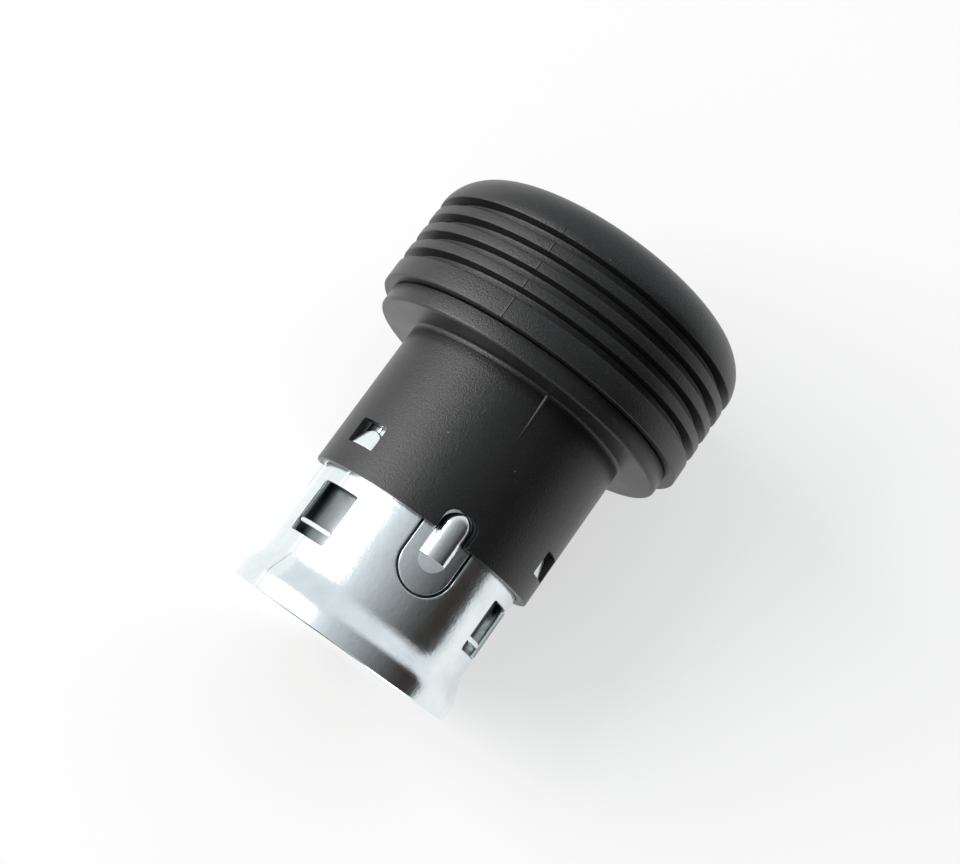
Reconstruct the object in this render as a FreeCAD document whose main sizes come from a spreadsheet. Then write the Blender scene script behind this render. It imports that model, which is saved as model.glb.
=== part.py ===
import FreeCAD, Part
import math
import os
import Sketcher

# Car cigarette lighter: a pull-out plug that stands on its metal mouth, knob up.
# The axis is Z, the mouth rim lies on Z = 0, and the first spring finger faces -Y.

doc = FreeCAD.newDocument("CarLighter")
sheet = doc.addObject("Spreadsheet::Sheet", "Sheet")
axis_z = FreeCAD.Vector(0, 0, 1)


class Dim:
    """A length built from named cells: the expression that drives it and its present value."""

    def __init__(self, text, value):
        self.text = text
        self.value = value

    def __add__(self, other):
        return Dim(self.text + " + " + other.text, self.value + other.value)

    def __sub__(self, other):
        return Dim(self.text + " - (" + other.text + ")", self.value - other.value)

    def __mul__(self, factor):
        return Dim("(" + self.text + ") * " + str(factor), self.value * factor)

    def __neg__(self):
        return Dim("-(" + self.text + ")", -self.value)


NONE = Dim("0", 0.0)
cells = []


def size(name, value):
    """Puts one driving dimension on the sheet and returns it."""
    cells.append(name)
    line = str(len(cells))
    sheet.set("A" + line, name)
    sheet.set("B" + line, str(value))
    sheet.setAlias("B" + line, name)
    return Dim("Sheet." + name, value)


# Knob: domed cap with turned grooves and a taller bottom band.
knob_radius = size("knob_radius", 16.2)
knob_bottom = size("knob_bottom", 29.3)
knob_height = size("knob_height", 43.4)
crown_height = size("crown_height", 4.7)
dome_corner_reach = size("dome_corner_reach", 3.9)
dome_corner_radius = size("dome_corner_radius", 4.3)
dome_rise = size("dome_rise", 1.0)
knob_wall = size("knob_wall", 2.2)
groove_depth = size("groove_depth", 1.1)
band_round = size("band_round", 0.25)
# Shares of the knob's plain side for the bottom band and the groove pitch.
BAND_SHARE = 0.2766
PITCH_SHARE = 0.2053
# Shares of the pitch for a groove's mouth, its floor and the rounding of its ribs.
MOUTH_SHARE = 0.515
FLOOR_SHARE = 0.41
ROUND_SHARE = 0.065

# Shank: barrel, flange under the knob, collar inside the knob and the web that carries the stem.
shank_radius = size("shank_radius", 11.5)
shank_bottom = size("shank_bottom", 12.55)
shank_wall = size("shank_wall", 1.0)
shank_round = size("shank_round", 0.5)
flange_radius = size("flange_radius", 15.2)
flange_bottom = size("flange_bottom", 27.4)
flange_top = size("flange_top", 29.0)
flange_round = size("flange_round", 0.6)
flange_root = size("flange_root", 0.5)
web_bottom = size("web_bottom", 25.6)
collar_wall = size("collar_wall", 1.6)
collar_top = size("collar_top", 33.0)
fit_gap = size("fit_gap", 0.06)
window_low = size("window_low", 14.9)
window_high = size("window_high", 17.3)
window_width = size("window_width", 3.6)
notch_width = size("notch_width", 3.3)
notch_top = size("notch_top", 14.55)

# Contact sleeve: rolled sheet with a flared mouth.
sleeve_fit = size("sleeve_fit", 0.05)
sheet_gauge = size("sheet_gauge", 0.45)
sleeve_top = size("sleeve_top", 22.0)
flare_start = size("flare_start", 3.1)
flare_end = size("flare_end", 0.9)
flare_out = size("flare_out", 0.65)
mouth_out = size("mouth_out", 0.75)
flare_bend = size("flare_bend", 7.0)
port_low = size("port_low", 5.9)
port_high = size("port_high", 11.05)
port_width = size("port_width", 5.2)
slot_bottom = size("slot_bottom", 6.95)
slot_width = size("slot_width", 5.5)
slot_top = size("slot_top", 17.4)
slit_gap = size("slit_gap", 0.2)
tongue_sink = size("tongue_sink", 0.25)
tongue_root = size("tongue_root", 18.4)
ridge_width = size("ridge_width", 2.75)
ridge_low = size("ridge_low", 10.27)
ridge_top = size("ridge_top", 14.25)
ridge_rise = size("ridge_rise", 0.85)
ridge_round = size("ridge_round", 0.7)
clinch_width = size("clinch_width", 3.1)
clinch_height = size("clinch_height", 1.8)
clinch_rise = size("clinch_rise", 0.75)

# Guard sleeve: inner sheet sleeve that slides up against the return spring.
guard_gap = size("guard_gap", 0.7)
guard_gauge = size("guard_gauge", 0.4)
guard_bottom = size("guard_bottom", 0.8)
guard_lip_reach = size("guard_lip_reach", 2.3)
guard_rest_gap = size("guard_rest_gap", 0.05)
stop_low = size("stop_low", 6.85)
stop_high = size("stop_high", 7.3)
stop_width = size("stop_width", 4.6)
stop_gap = size("stop_gap", 0.2)

# Heater and the stem that carries it.
cup_gap = size("cup_gap", 2.0)
cup_gauge = size("cup_gauge", 0.4)
cup_bottom = size("cup_bottom", 6.5)
cup_top = size("cup_top", 11.5)
cup_bead = size("cup_bead", 0.35)
mica_thickness = size("mica_thickness", 0.4)
mica_radius = size("mica_radius", 5.2)
clamp_gap = size("clamp_gap", 1.3)
clamp_thickness = size("clamp_thickness", 0.4)
ceramic_thickness = size("ceramic_thickness", 0.9)
ceramic_gap = size("ceramic_gap", 0.15)
coil_bottom = size("coil_bottom", 7.3)
coil_ribbon = size("coil_ribbon", 0.22)
coil_gap = size("coil_gap", 0.9)
coil_turns = size("coil_turns", 8)
stem_tip = size("stem_tip", 7.9)
stem_tip_radius = size("stem_tip_radius", 1.2)
stem_body_radius = size("stem_body_radius", 2.4)
stem_thread_radius = size("stem_thread_radius", 1.5)
stem_top = size("stem_top", 32.2)
bush_radius = size("bush_radius", 1.9)
seat_gap = size("seat_gap", 0.9)
seat_thickness = size("seat_thickness", 0.6)
washer_radius = size("washer_radius", 3.4)
washer_thickness = size("washer_thickness", 0.6)
nut_across = size("nut_across", 2.9)
nut_height = size("nut_height", 2.2)
spring_inset = size("spring_inset", 1.2)
spring_wire = size("spring_wire", 0.9)
spring_turns = size("spring_turns", 5.5)
doc.recompute()

knob_bore = knob_radius - knob_wall
collar_radius = knob_bore - fit_gap
knob_side_top = knob_height - crown_height
knob_side = knob_side_top - knob_bottom
groove_first = knob_bottom + knob_side * BAND_SHARE
groove_pitch = knob_side * PITCH_SHARE
groove_width = groove_pitch * MOUTH_SHARE
groove_floor = groove_pitch * FLOOR_SHARE
rib_round = groove_pitch * ROUND_SHARE

# Every sheet piece keeps its clearance from the barrel that holds it.
shank_bore = shank_radius - shank_wall
sleeve_radius = shank_bore - sleeve_fit
sleeve_bore = sleeve_radius - sheet_gauge
flare_radius = sleeve_radius + flare_out
mouth_radius = sleeve_radius + mouth_out
ridge_radius = sleeve_radius + ridge_rise
clinch_radius = sleeve_radius + clinch_rise
guard_radius = sleeve_bore - guard_gap
guard_lip = guard_radius - guard_lip_reach
stop_radius = sleeve_radius - stop_gap
cup_radius = guard_radius - cup_gap
clamp_radius = guard_radius - clamp_gap
coil_outer = cup_radius - coil_gap
seat_radius = shank_bore - seat_gap
spring_radius = guard_radius - spring_inset
clamp_bottom = cup_top + mica_thickness
clamp_top = clamp_bottom + clamp_thickness
guard_lip_bottom = clamp_top + guard_rest_gap
guard_top = guard_lip_bottom + guard_gauge
seat_bottom = web_bottom - seat_thickness
ceramic_top = cup_top - cup_gauge
ceramic_bottom = ceramic_top - ceramic_thickness


def origin_part(body, role):
    """The named plane or axis of a body's own origin."""
    return [part for part in body.Origin.OriginFeatures if part.Role == role][0]


def new_body(label):
    """An empty body whose label names the piece."""
    body = doc.addObject("PartDesign::Body", label)
    body.Label = label
    return body


def pin(sketch, geometry, end, x, y):
    """Holds one end of a line or arc at the driven place x, y."""
    for kind, axis, length in (("DistanceX", -2, x), ("DistanceY", -1, y)):
        if length is NONE:
            sketch.addConstraint(Sketcher.Constraint("PointOnObject", geometry, end, axis))
            continue
        index = sketch.addConstraint(Sketcher.Constraint(kind, -1, 1, geometry, end, length.value))
        sketch.setExpression("Constraints[" + str(index) + "]", length.text)


def outline(body, name, plane, points, arcs=None, lift=None):
    """A closed outline through driven points; arcs maps a side's number to its driven radius.

    A side mapped to NONE is an arc whose centre stays on the axis.
    """
    arcs = arcs or {}
    sketch = body.newObject("Sketcher::SketchObject", name)
    sketch.AttachmentSupport = (origin_part(body, plane), [""])
    sketch.MapMode = "FlatFace"
    if lift is not None:
        sketch.setExpression("AttachmentOffset.Base.z", lift.text)
    count = len(points)
    starts = []
    for side in range(count):
        first = FreeCAD.Vector(points[side][0].value, points[side][1].value, 0)
        last = FreeCAD.Vector(points[(side + 1) % count][0].value, points[(side + 1) % count][1].value, 0)
        if side not in arcs:
            sketch.addGeometry(Part.LineSegment(first, last), False)
            starts.append((1, 2))
            continue
        # The arc bulges to the right of its way round, so its centre lies to the left.
        radius = arcs[side].value
        chord = last - first
        if arcs[side] is NONE:
            radius = chord.Length * chord.Length / (2.0 * abs(chord.y))
        rise = math.sqrt(radius * radius - chord.Length * chord.Length / 4.0)
        normal = FreeCAD.Vector(-chord.y, chord.x, 0).normalize()
        centre = (first + last) * 0.5 + normal * rise
        begin = math.atan2(first.y - centre.y, first.x - centre.x)
        finish = math.atan2(last.y - centre.y, last.x - centre.x)
        circle = Part.Circle(centre, axis_z, radius)
        sketch.addGeometry(Part.ArcOfCircle(circle, begin, finish), False)
        starts.append((1, 2))
    for side in range(count):
        following = (side + 1) % count
        sketch.addConstraint(Sketcher.Constraint("Coincident", side, starts[side][1], following, starts[following][0]))
    for side in range(count):
        pin(sketch, side, starts[side][0], points[side][0], points[side][1])
    for side, radius in arcs.items():
        if radius is NONE:
            sketch.addConstraint(Sketcher.Constraint("PointOnObject", side, 3, -2))
            continue
        index = sketch.addConstraint(Sketcher.Constraint("Radius", side, radius.value))
        sketch.setExpression("Constraints[" + str(index) + "]", radius.text)
    doc.recompute()
    return sketch


def turned(body, name, sketch, angle=360.0):
    """Turns an outline about the axis; a part turn is centred on its own plane."""
    feature = body.newObject("PartDesign::Revolution", name)
    feature.Profile = sketch
    feature.ReferenceAxis = (origin_part(body, "Z_Axis"), [""])
    feature.Angle = angle
    feature.Midplane = angle < 360.0
    doc.recompute()
    return feature


def cut_out(body, name, sketch, reach, outward):
    """Cuts an outline through the wall on one side of the axis only."""
    before = body.Shape.Volume
    feature = body.newObject("PartDesign::Pocket", name)
    feature.Profile = sketch
    feature.setExpression("Length", reach.text)
    feature.Reversed = outward
    doc.recompute()
    if body.Shape.Volume > before - 1e-4:
        raise RuntimeError(name + " cuts nothing")
    return feature


def raised(body, name, sketch, reach, outward):
    """Raises an outline from its own plane."""
    feature = body.newObject("PartDesign::Pad", name)
    feature.Profile = sketch
    feature.setExpression("Length", reach.text)
    feature.Reversed = outward
    doc.recompute()
    return feature


def thrice(body, name, feature):
    """Repeats a feature at three places round the axis."""
    pattern = body.newObject("PartDesign::PolarPattern", name)
    pattern.Originals = [feature]
    pattern.Axis = (origin_part(body, "Z_Axis"), [""])
    pattern.Angle = 360.0
    pattern.Occurrences = 3
    body.Tip = pattern
    doc.recompute()
    return pattern


def rounded(body, name, radius, wanted):
    """Rounds the edges of a body that pass the test."""
    base = body.Tip
    names = []
    for index, edge in enumerate(base.Shape.Edges):
        if not edge.Degenerated and wanted(edge):
            names.append("Edge" + str(index + 1))
    if not names:
        raise RuntimeError(name + " finds no edge")
    feature = body.newObject("PartDesign::Fillet", name)
    feature.Base = (base, names)
    feature.setExpression("Radius", radius.text)
    doc.recompute()
    return feature


def ring_edge(radius, height):
    """A test for a full circle of that radius at that height."""

    def test(edge):
        if not isinstance(edge.Curve, Part.Circle):
            return False
        near = abs(edge.Curve.Radius - radius.value) < 1e-3
        return near and abs(edge.BoundBox.ZMin - height.value) < 1e-3 and edge.BoundBox.ZLength < 1e-3

    return test


def any_of(*tests):
    """A test that passes when one of its tests does."""

    def test(edge):
        return any(one(edge) for one in tests)

    return test


def cylinder(name, radius, height, base):
    """A plain cylinder on the axis."""
    solid = doc.addObject("Part::Cylinder", name)
    solid.setExpression("Radius", radius.text)
    solid.setExpression("Height", height.text)
    solid.setExpression("Placement.Base.z", base.text)
    return solid


def washer(label, outer, inner, height, base):
    """A flat ring on the axis."""
    disc = cylinder(label + "_disc", outer, height, base)
    hole = cylinder(label + "_hole", inner, height, base)
    ring = doc.addObject("Part::Cut", label)
    ring.Label = label
    ring.Base = disc
    ring.Tool = hole
    return ring


pieces = []

# The knob: outer side, dome and the stepped bore that sits on the shank's collar.
knob = new_body("knob")
knob_cap_edge = knob_radius - dome_corner_reach
knob_points = [
    (knob_bore, knob_bottom),
    (knob_radius, knob_bottom),
    (knob_radius, knob_side_top),
    (knob_cap_edge, knob_height - dome_rise),
    (NONE, knob_height),
    (NONE, knob_height - knob_wall),
    (knob_bore - collar_wall * 0.5, knob_height - knob_wall - dome_corner_radius),
    (knob_bore - collar_wall * 0.5, collar_top),
    (knob_bore, collar_top),
]
knob_arcs = {2: dome_corner_radius, 3: NONE}
turned(knob, "KnobTurned", outline(knob, "KnobOutline", "XZ_Plane", knob_points, knob_arcs))
groove_half = groove_width * 0.5
floor_half = groove_floor * 0.5
groove_points = [
    (knob_radius + groove_depth, groove_first - groove_half),
    (knob_radius + groove_depth, groove_first + groove_half),
    (knob_radius, groove_first + groove_half),
    (knob_radius - groove_depth, groove_first + floor_half),
    (knob_radius - groove_depth, groove_first - floor_half),
    (knob_radius, groove_first - groove_half),
]
knob_solid_volume = knob.Shape.Volume
groove = knob.newObject("PartDesign::Groove", "KnobGroove")
groove.Profile = outline(knob, "GrooveOutline", "XZ_Plane", groove_points)
groove.ReferenceAxis = (origin_part(knob, "Z_Axis"), [""])
groove.Angle = 360.0
doc.recompute()
if knob.Shape.Volume > knob_solid_volume - 1e-3:
    raise RuntimeError("the knob groove cuts nothing")
grooves = knob.newObject("PartDesign::LinearPattern", "KnobGrooves")
grooves.Originals = [groove]
grooves.Direction = (origin_part(knob, "Z_Axis"), [""])
grooves.Occurrences = 4
grooves.setExpression("Length", (groove_pitch * 3).text)
knob.Tip = grooves
doc.recompute()


def rib_edge(edge):
    """The sharp rings where a groove meets the knob's side."""
    if not isinstance(edge.Curve, Part.Circle):
        return False
    on_side = abs(edge.Curve.Radius - knob_radius.value) < 1e-3
    above = edge.BoundBox.ZMin > knob_bottom.value + 0.5
    below = edge.BoundBox.ZMin < knob_side_top.value - 0.05
    return on_side and above and below


rounded(knob, "RibRounds", rib_round, rib_edge)
rounded(knob, "BandRound", band_round, ring_edge(knob_radius, knob_bottom))
pieces.append(knob)

# The shank: barrel, flange, web and collar in one moulding.
shank = new_body("shank")
shank_points = [
    (shank_bore, shank_bottom),
    (shank_radius, shank_bottom),
    (shank_radius, flange_bottom),
    (flange_radius, flange_bottom),
    (flange_radius, flange_top),
    (collar_radius, flange_top),
    (collar_radius, collar_top),
    (collar_radius - collar_wall, collar_top),
    (collar_radius - collar_wall, flange_top),
    (stem_thread_radius + fit_gap, flange_top),
    (stem_thread_radius + fit_gap, web_bottom),
    (shank_bore, web_bottom),
]
turned(shank, "ShankTurned", outline(shank, "ShankOutline", "XZ_Plane", shank_points))
rounded(shank, "ShankEnd", shank_round, ring_edge(shank_radius, shank_bottom))
half_window = window_width * 0.5
window_points = [
    (-half_window, window_low),
    (half_window, window_low),
    (half_window, window_high),
    (-half_window, window_high),
]
window = outline(shank, "WindowOutline", "XZ_Plane", window_points)
thrice(shank, "Windows", cut_out(shank, "Window", window, shank_radius * 2, False))
half_notch = notch_width * 0.5
notch_points = [
    (-half_notch, shank_bottom - shank_round),
    (half_notch, shank_bottom - shank_round),
    (half_notch, notch_top - half_notch),
    (-half_notch, notch_top - half_notch),
]
notch = outline(shank, "NotchOutline", "XZ_Plane", notch_points, {2: half_notch * 1.001})
thrice(shank, "Notches", cut_out(shank, "Notch", notch, shank_radius * 2, True))
flange_edges = any_of(ring_edge(flange_radius, flange_bottom), ring_edge(flange_radius, flange_top))
rounded(shank, "FlangeRounds", flange_round, flange_edges)
rounded(shank, "FlangeRoot", flange_root, ring_edge(shank_radius, flange_bottom))
pieces.append(shank)

# The contact sleeve: tube with a bell mouth.
sleeve = new_body("sleeve_tube")
sleeve_points = [
    (mouth_radius - sheet_gauge, NONE),
    (mouth_radius, NONE),
    (flare_radius, flare_end),
    (sleeve_radius, flare_start),
    (sleeve_radius, sleeve_top),
    (sleeve_bore, sleeve_top),
    (sleeve_bore, flare_start),
    (flare_radius - sheet_gauge, flare_end),
]
turned(sleeve, "SleeveTurned", outline(sleeve, "SleeveOutline", "XZ_Plane", sleeve_points))
bends = any_of(ring_edge(sleeve_radius, flare_start), ring_edge(sleeve_bore, flare_start))
rounded(sleeve, "FlareBends", flare_bend, bends)

# Rectangular ports, one opposite each spring finger.
half_port = port_width * 0.5
port_points = [
    (-half_port, port_low),
    (half_port, port_low),
    (half_port, port_high),
    (-half_port, port_high),
]
port = outline(sleeve, "PortOutline", "XZ_Plane", port_points)
thrice(sleeve, "Ports", cut_out(sleeve, "Port", port, mouth_radius * 2, False))

# Round-ended slots, each filled by a tongue that stands a little inside the wall.
half_slot = slot_width * 0.5
slot_points = [
    (half_slot, slot_bottom + half_slot),
    (half_slot, slot_top),
    (-half_slot, slot_top),
    (-half_slot, slot_bottom + half_slot),
]
slot = outline(sleeve, "SlotOutline", "XZ_Plane", slot_points, {3: half_slot * 1.001})
thrice(sleeve, "Slots", cut_out(sleeve, "Slot", slot, mouth_radius * 2, True))
tongue_low = slot_bottom + slit_gap
tongue_outer = sleeve_radius - tongue_sink
tongue_inner = tongue_outer - sheet_gauge
half_tongue = half_slot - slit_gap
tongue_points = [
    (half_tongue, tongue_low + half_tongue),
    (half_tongue, tongue_root),
    (-half_tongue, tongue_root),
    (-half_tongue, tongue_low + half_tongue),
]
tongue_star = new_body("tongue_star")
tongue_sketch = outline(tongue_star, "TongueOutline", "XZ_Plane", tongue_points, {3: half_tongue * 1.001})
thrice(tongue_star, "Tongues", raised(tongue_star, "Tongue", tongue_sketch, mouth_radius, False))
tongue_ring = washer("tongue_ring", tongue_outer, tongue_inner, tongue_root, NONE)
tongues = doc.addObject("Part::Common", "tongue_set")
tongues.Base = tongue_star
tongues.Tool = tongue_ring

# A raised ridge runs up each tongue and ends round, in front of the shank's notch.
half_ridge = ridge_width * 0.5
ridge_points = [
    (-half_ridge, ridge_low),
    (half_ridge, ridge_low),
    (half_ridge, ridge_top - half_ridge),
    (-half_ridge, ridge_top - half_ridge),
]
ridge_star = new_body("ridge_star")
ridge_sketch = outline(ridge_star, "RidgeOutline", "XZ_Plane", ridge_points, {2: half_ridge * 1.001})
thrice(ridge_star, "Ridges", raised(ridge_star, "Ridge", ridge_sketch, ridge_radius, False))


def ridge_edge(edge):
    """The long and round edges of a ridge's outer face, not its sheared lower end."""
    middle = edge.valueAt((edge.FirstParameter + edge.LastParameter) * 0.5)
    points = [vertex.Point for vertex in edge.Vertexes]
    for turn in range(3):
        angle = math.radians(120.0 * turn)
        outward = FreeCAD.Vector(math.sin(angle), -math.cos(angle), 0)
        flat = all(abs(point.dot(outward) - ridge_radius.value) < 1e-3 for point in points)
        if flat and middle.z > ridge_low.value + 0.1:
            return True
    return False


rounded(ridge_star, "RidgeRounds", ridge_round, ridge_edge)
ridge_core = cylinder("ridge_core", tongue_inner + sheet_gauge * 0.4, ridge_top, NONE)
ridges = doc.addObject("Part::Cut", "ridge_set")
ridges.Base = ridge_star
ridges.Tool = ridge_core

# Clinched tabs fill the lower half of the shank's windows.
half_clinch = clinch_width * 0.5
clinch_points = [
    (-half_clinch, window_low),
    (half_clinch, window_low),
    (half_clinch, window_low + clinch_height * 0.45),
    (-half_clinch, window_low + clinch_height * 0.45),
]
clinch_lift = sleeve_bore + sheet_gauge * 0.4
clinch_arc = {2: half_clinch * 1.12}
clinch_sketch = outline(sleeve, "ClinchOutline", "XZ_Plane", clinch_points, clinch_arc, -clinch_lift)
clinch = raised(sleeve, "Clinch", clinch_sketch, clinch_radius - clinch_lift, True)
thrice(sleeve, "Clinches", clinch)
contact_sleeve = doc.addObject("Part::MultiFuse", "contact_sleeve")
contact_sleeve.Label = "contact_sleeve"
contact_sleeve.Shapes = [sleeve, tongues, ridges]
pieces.append(contact_sleeve)

# The guard sleeve: thin inner sleeve, closed in by a lip that the spring presses on.
guard = new_body("guard_sleeve")
guard_points = [
    (guard_radius - guard_gauge, guard_bottom),
    (guard_radius, guard_bottom),
    (guard_radius, guard_top),
    (guard_lip, guard_top),
    (guard_lip, guard_lip_bottom),
    (guard_radius - guard_gauge, guard_lip_bottom),
]
turned(guard, "GuardTurned", outline(guard, "GuardOutline", "XZ_Plane", guard_points))
half_stop = stop_width * 0.5
stop_points = [
    (-half_stop, stop_low),
    (half_stop, stop_low),
    (half_stop, stop_high),
    (-half_stop, stop_high),
]
stop_lift = guard_radius - guard_gauge
stop_sketch = outline(guard, "StopOutline", "XZ_Plane", stop_points, None, -stop_lift)
thrice(guard, "Stops", raised(guard, "Stop", stop_sketch, stop_radius - stop_lift, True))
pieces.append(guard)

# The cup round the heating element, with a rolled bead at its open rim.
cup = new_body("coil_cup")
cup_points = [
    (cup_radius - cup_gauge, cup_bottom),
    (cup_radius + cup_bead, cup_bottom),
    (cup_radius + cup_bead, cup_bottom + cup_bead * 2),
    (cup_radius, cup_bottom + cup_bead * 2),
    (cup_radius, cup_top),
    (bush_radius, cup_top),
    (bush_radius, ceramic_top),
    (cup_radius - cup_gauge, ceramic_top),
]
turned(cup, "CupTurned", outline(cup, "CupOutline", "XZ_Plane", cup_points))
bead_low = ring_edge(cup_radius + cup_bead, cup_bottom)
bead_high = ring_edge(cup_radius + cup_bead, cup_bottom + cup_bead * 2)
rounded(cup, "CupBead", cup_bead * 0.9, any_of(bead_low, bead_high))
rounded(cup, "CupShoulder", cup_gauge * 2, ring_edge(cup_radius, cup_top))
pieces.append(cup)

# The stem: a turned stud with a shoulder against the clamp plate and a thread through the web.
stem = new_body("stem")
stem_points = [
    (NONE, stem_tip),
    (stem_tip_radius, stem_tip),
    (stem_tip_radius, clamp_top),
    (stem_body_radius, clamp_top),
    (stem_body_radius, seat_bottom),
    (stem_thread_radius, seat_bottom),
    (stem_thread_radius, stem_top),
    (NONE, stem_top),
]
turned(stem, "StemTurned", outline(stem, "StemOutline", "XZ_Plane", stem_points))
rounded(stem, "StemTip", stem_tip_radius * 0.4, ring_edge(stem_tip_radius, stem_tip))
rounded(stem, "StemEnd", stem_thread_radius * 0.25, ring_edge(stem_thread_radius, stem_top))
pieces.append(stem)

# Flat rings stacked on the stem.
pieces.append(washer("ceramic_disc", cup_radius - cup_gauge - ceramic_gap, bush_radius, ceramic_thickness, ceramic_bottom))
bush_height = clamp_bottom - ceramic_bottom
pieces.append(washer("insulating_bush", bush_radius, stem_tip_radius, bush_height, ceramic_bottom))
pieces.append(washer("mica_washer", mica_radius, bush_radius, mica_thickness, cup_top))
pieces.append(washer("clamp_plate", clamp_radius, stem_tip_radius, clamp_thickness, clamp_bottom))
pieces.append(washer("spring_seat", seat_radius, stem_thread_radius, seat_thickness, seat_bottom))
pieces.append(washer("lock_washer", washer_radius, stem_thread_radius, washer_thickness, flange_top))

# The hexagon nut on the stem, inside the knob.
nut_base = flange_top + washer_thickness
nut_block = doc.addObject("Part::Prism", "stem_nut_block")
nut_block.Polygon = 6
nut_block.setExpression("Circumradius", nut_across.text)
nut_block.setExpression("Height", nut_height.text)
nut_block.setExpression("Placement.Base.z", nut_base.text)
nut_hole = cylinder("stem_nut_hole", stem_thread_radius, nut_height, nut_base)
stem_nut = doc.addObject("Part::Cut", "stem_nut")
stem_nut.Label = "stem_nut"
stem_nut.Base = nut_block
stem_nut.Tool = nut_hole
pieces.append(stem_nut)

# The return spring stands between the guard's lip and the seat.
spring_low = guard_top + spring_wire * 0.5
spring_high = seat_bottom - spring_wire * 0.5
spring_path = doc.addObject("Part::Helix", "return_spring_path")
spring_path.setExpression("Radius", spring_radius.text)
spring_path.setExpression("Height", (spring_high - spring_low).text)
spring_path.setExpression("Pitch", "(" + (spring_high - spring_low).text + ") / " + spring_turns.text)
spring_path.setExpression("Placement.Base.z", spring_low.text)
spring_section = doc.addObject("Part::Circle", "return_spring_section")
spring_section.setExpression("Radius", (spring_wire * 0.5).text)
spring_section.Placement = FreeCAD.Placement(FreeCAD.Vector(), FreeCAD.Rotation(FreeCAD.Vector(1, 0, 0), 90))
spring_section.setExpression("Placement.Base.x", spring_radius.text)
spring_section.setExpression("Placement.Base.z", spring_low.text)
doc.recompute()
spring = doc.addObject("Part::Sweep", "return_spring")
spring.Label = "return_spring"
spring.Sections = [spring_section]
spring.Spine = (spring_path, ["Edge" + str(index + 1) for index in range(len(spring_path.Shape.Edges))])
spring.Solid = True
spring.Frenet = True
pieces.append(spring)


def spiral_edge(inner, outer, turns):
    """A flat spiral from the inner to the outer radius."""
    count = int(turns * 16)
    points = []
    for step in range(count + 1):
        angle = 2.0 * math.pi * turns * step / count
        radius = inner + (outer - inner) * step / count
        points.append(FreeCAD.Vector(radius * math.cos(angle), radius * math.sin(angle), 0))
    curve = Part.BSplineCurve()
    curve.interpolate(points)
    return curve.toShape()


# The heating element: a ribbon wound flat, from the stem's tip out towards the cup's wall.
coil_inner = stem_tip_radius.value
inner_line = spiral_edge(coil_inner, coil_outer.value - coil_ribbon.value, coil_turns.value)
outer_line = spiral_edge(coil_inner + coil_ribbon.value, coil_outer.value, coil_turns.value)
start_line = Part.makeLine(inner_line.valueAt(inner_line.FirstParameter), outer_line.valueAt(outer_line.FirstParameter))
end_line = Part.makeLine(inner_line.valueAt(inner_line.LastParameter), outer_line.valueAt(outer_line.LastParameter))
coil_face = Part.Face(Part.Wire(Part.__sortEdges__([inner_line, end_line, outer_line, start_line])))
coil = doc.addObject("Part::Feature", "heating_coil")
coil.Label = "heating_coil"
coil.Shape = coil_face.extrude(axis_z * (ceramic_bottom.value - coil_bottom.value))
coil.Placement = FreeCAD.Placement(FreeCAD.Vector(0, 0, coil_bottom.value), FreeCAD.Rotation())
pieces.append(coil)

doc.recompute()
for item in doc.Objects:
    if "Invalid" in item.State or "Error" in item.State:
        raise RuntimeError(item.Name + " failed: " + str(item.State))
for piece in pieces:
    shape = piece.Shape
    if shape.isNull() or not shape.isValid() or len(shape.Solids) != 1:
        raise RuntimeError(piece.Label + " is not one valid solid: " + str(len(shape.Solids)))

os.makedirs("parts", exist_ok=True)
for piece in pieces:
    piece.Shape.exportStep(os.path.join("parts", piece.Label + ".step"))
    box = piece.Shape.BoundBox
    print(piece.Label, round(piece.Shape.Volume, 2), round(box.ZMin, 3), round(box.ZMax, 3), round(box.XLength / 2, 3))
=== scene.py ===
"""Dresses the car lighter plug: black moulded knob and shank over a plated, rolled sheet sleeve."""

from __future__ import annotations

import logging
import math
from dataclasses import dataclass, field
from enum import Enum
from typing import Callable, Iterable, Sequence

import bmesh
import bpy
from mathutils import Matrix, Vector

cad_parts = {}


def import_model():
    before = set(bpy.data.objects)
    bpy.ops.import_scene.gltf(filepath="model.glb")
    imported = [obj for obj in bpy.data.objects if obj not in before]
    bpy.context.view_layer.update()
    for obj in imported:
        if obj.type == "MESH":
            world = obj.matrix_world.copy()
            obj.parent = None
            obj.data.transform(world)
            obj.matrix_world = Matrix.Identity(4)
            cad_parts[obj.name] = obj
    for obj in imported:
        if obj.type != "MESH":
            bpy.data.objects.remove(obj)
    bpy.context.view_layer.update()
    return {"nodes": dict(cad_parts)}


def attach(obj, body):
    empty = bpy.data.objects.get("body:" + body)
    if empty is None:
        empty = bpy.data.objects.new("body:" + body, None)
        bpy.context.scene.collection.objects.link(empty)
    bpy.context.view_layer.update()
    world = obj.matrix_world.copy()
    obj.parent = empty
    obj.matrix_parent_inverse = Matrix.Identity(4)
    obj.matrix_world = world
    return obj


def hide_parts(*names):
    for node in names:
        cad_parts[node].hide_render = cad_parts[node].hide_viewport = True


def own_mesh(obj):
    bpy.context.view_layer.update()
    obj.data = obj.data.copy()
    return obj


LOG = logging.getLogger("lighter")

Point = tuple[float, float]
Corner = tuple[float, float, float]
Colour = tuple[float, float, float]
Mesh = bmesh.types.BMesh
Piece = bpy.types.Object
Material = bpy.types.Material
Node = bpy.types.Node
Socket = bpy.types.NodeSocket
Tree = bpy.types.NodeTree

# Lengths are in millimetres until a mesh is finished, and angles are in radians unless degrees are named
MM = 0.001
FULL_TURN = 2.0 * math.pi
REPEATS = 3
THIRD_TURN = FULL_TURN / REPEATS
FINGER_TURN = math.radians(1.5)
ACROSS = (1.0, 0.0, 0.0)
UPWARD = (0.0, 1.0, 0.0)

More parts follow.
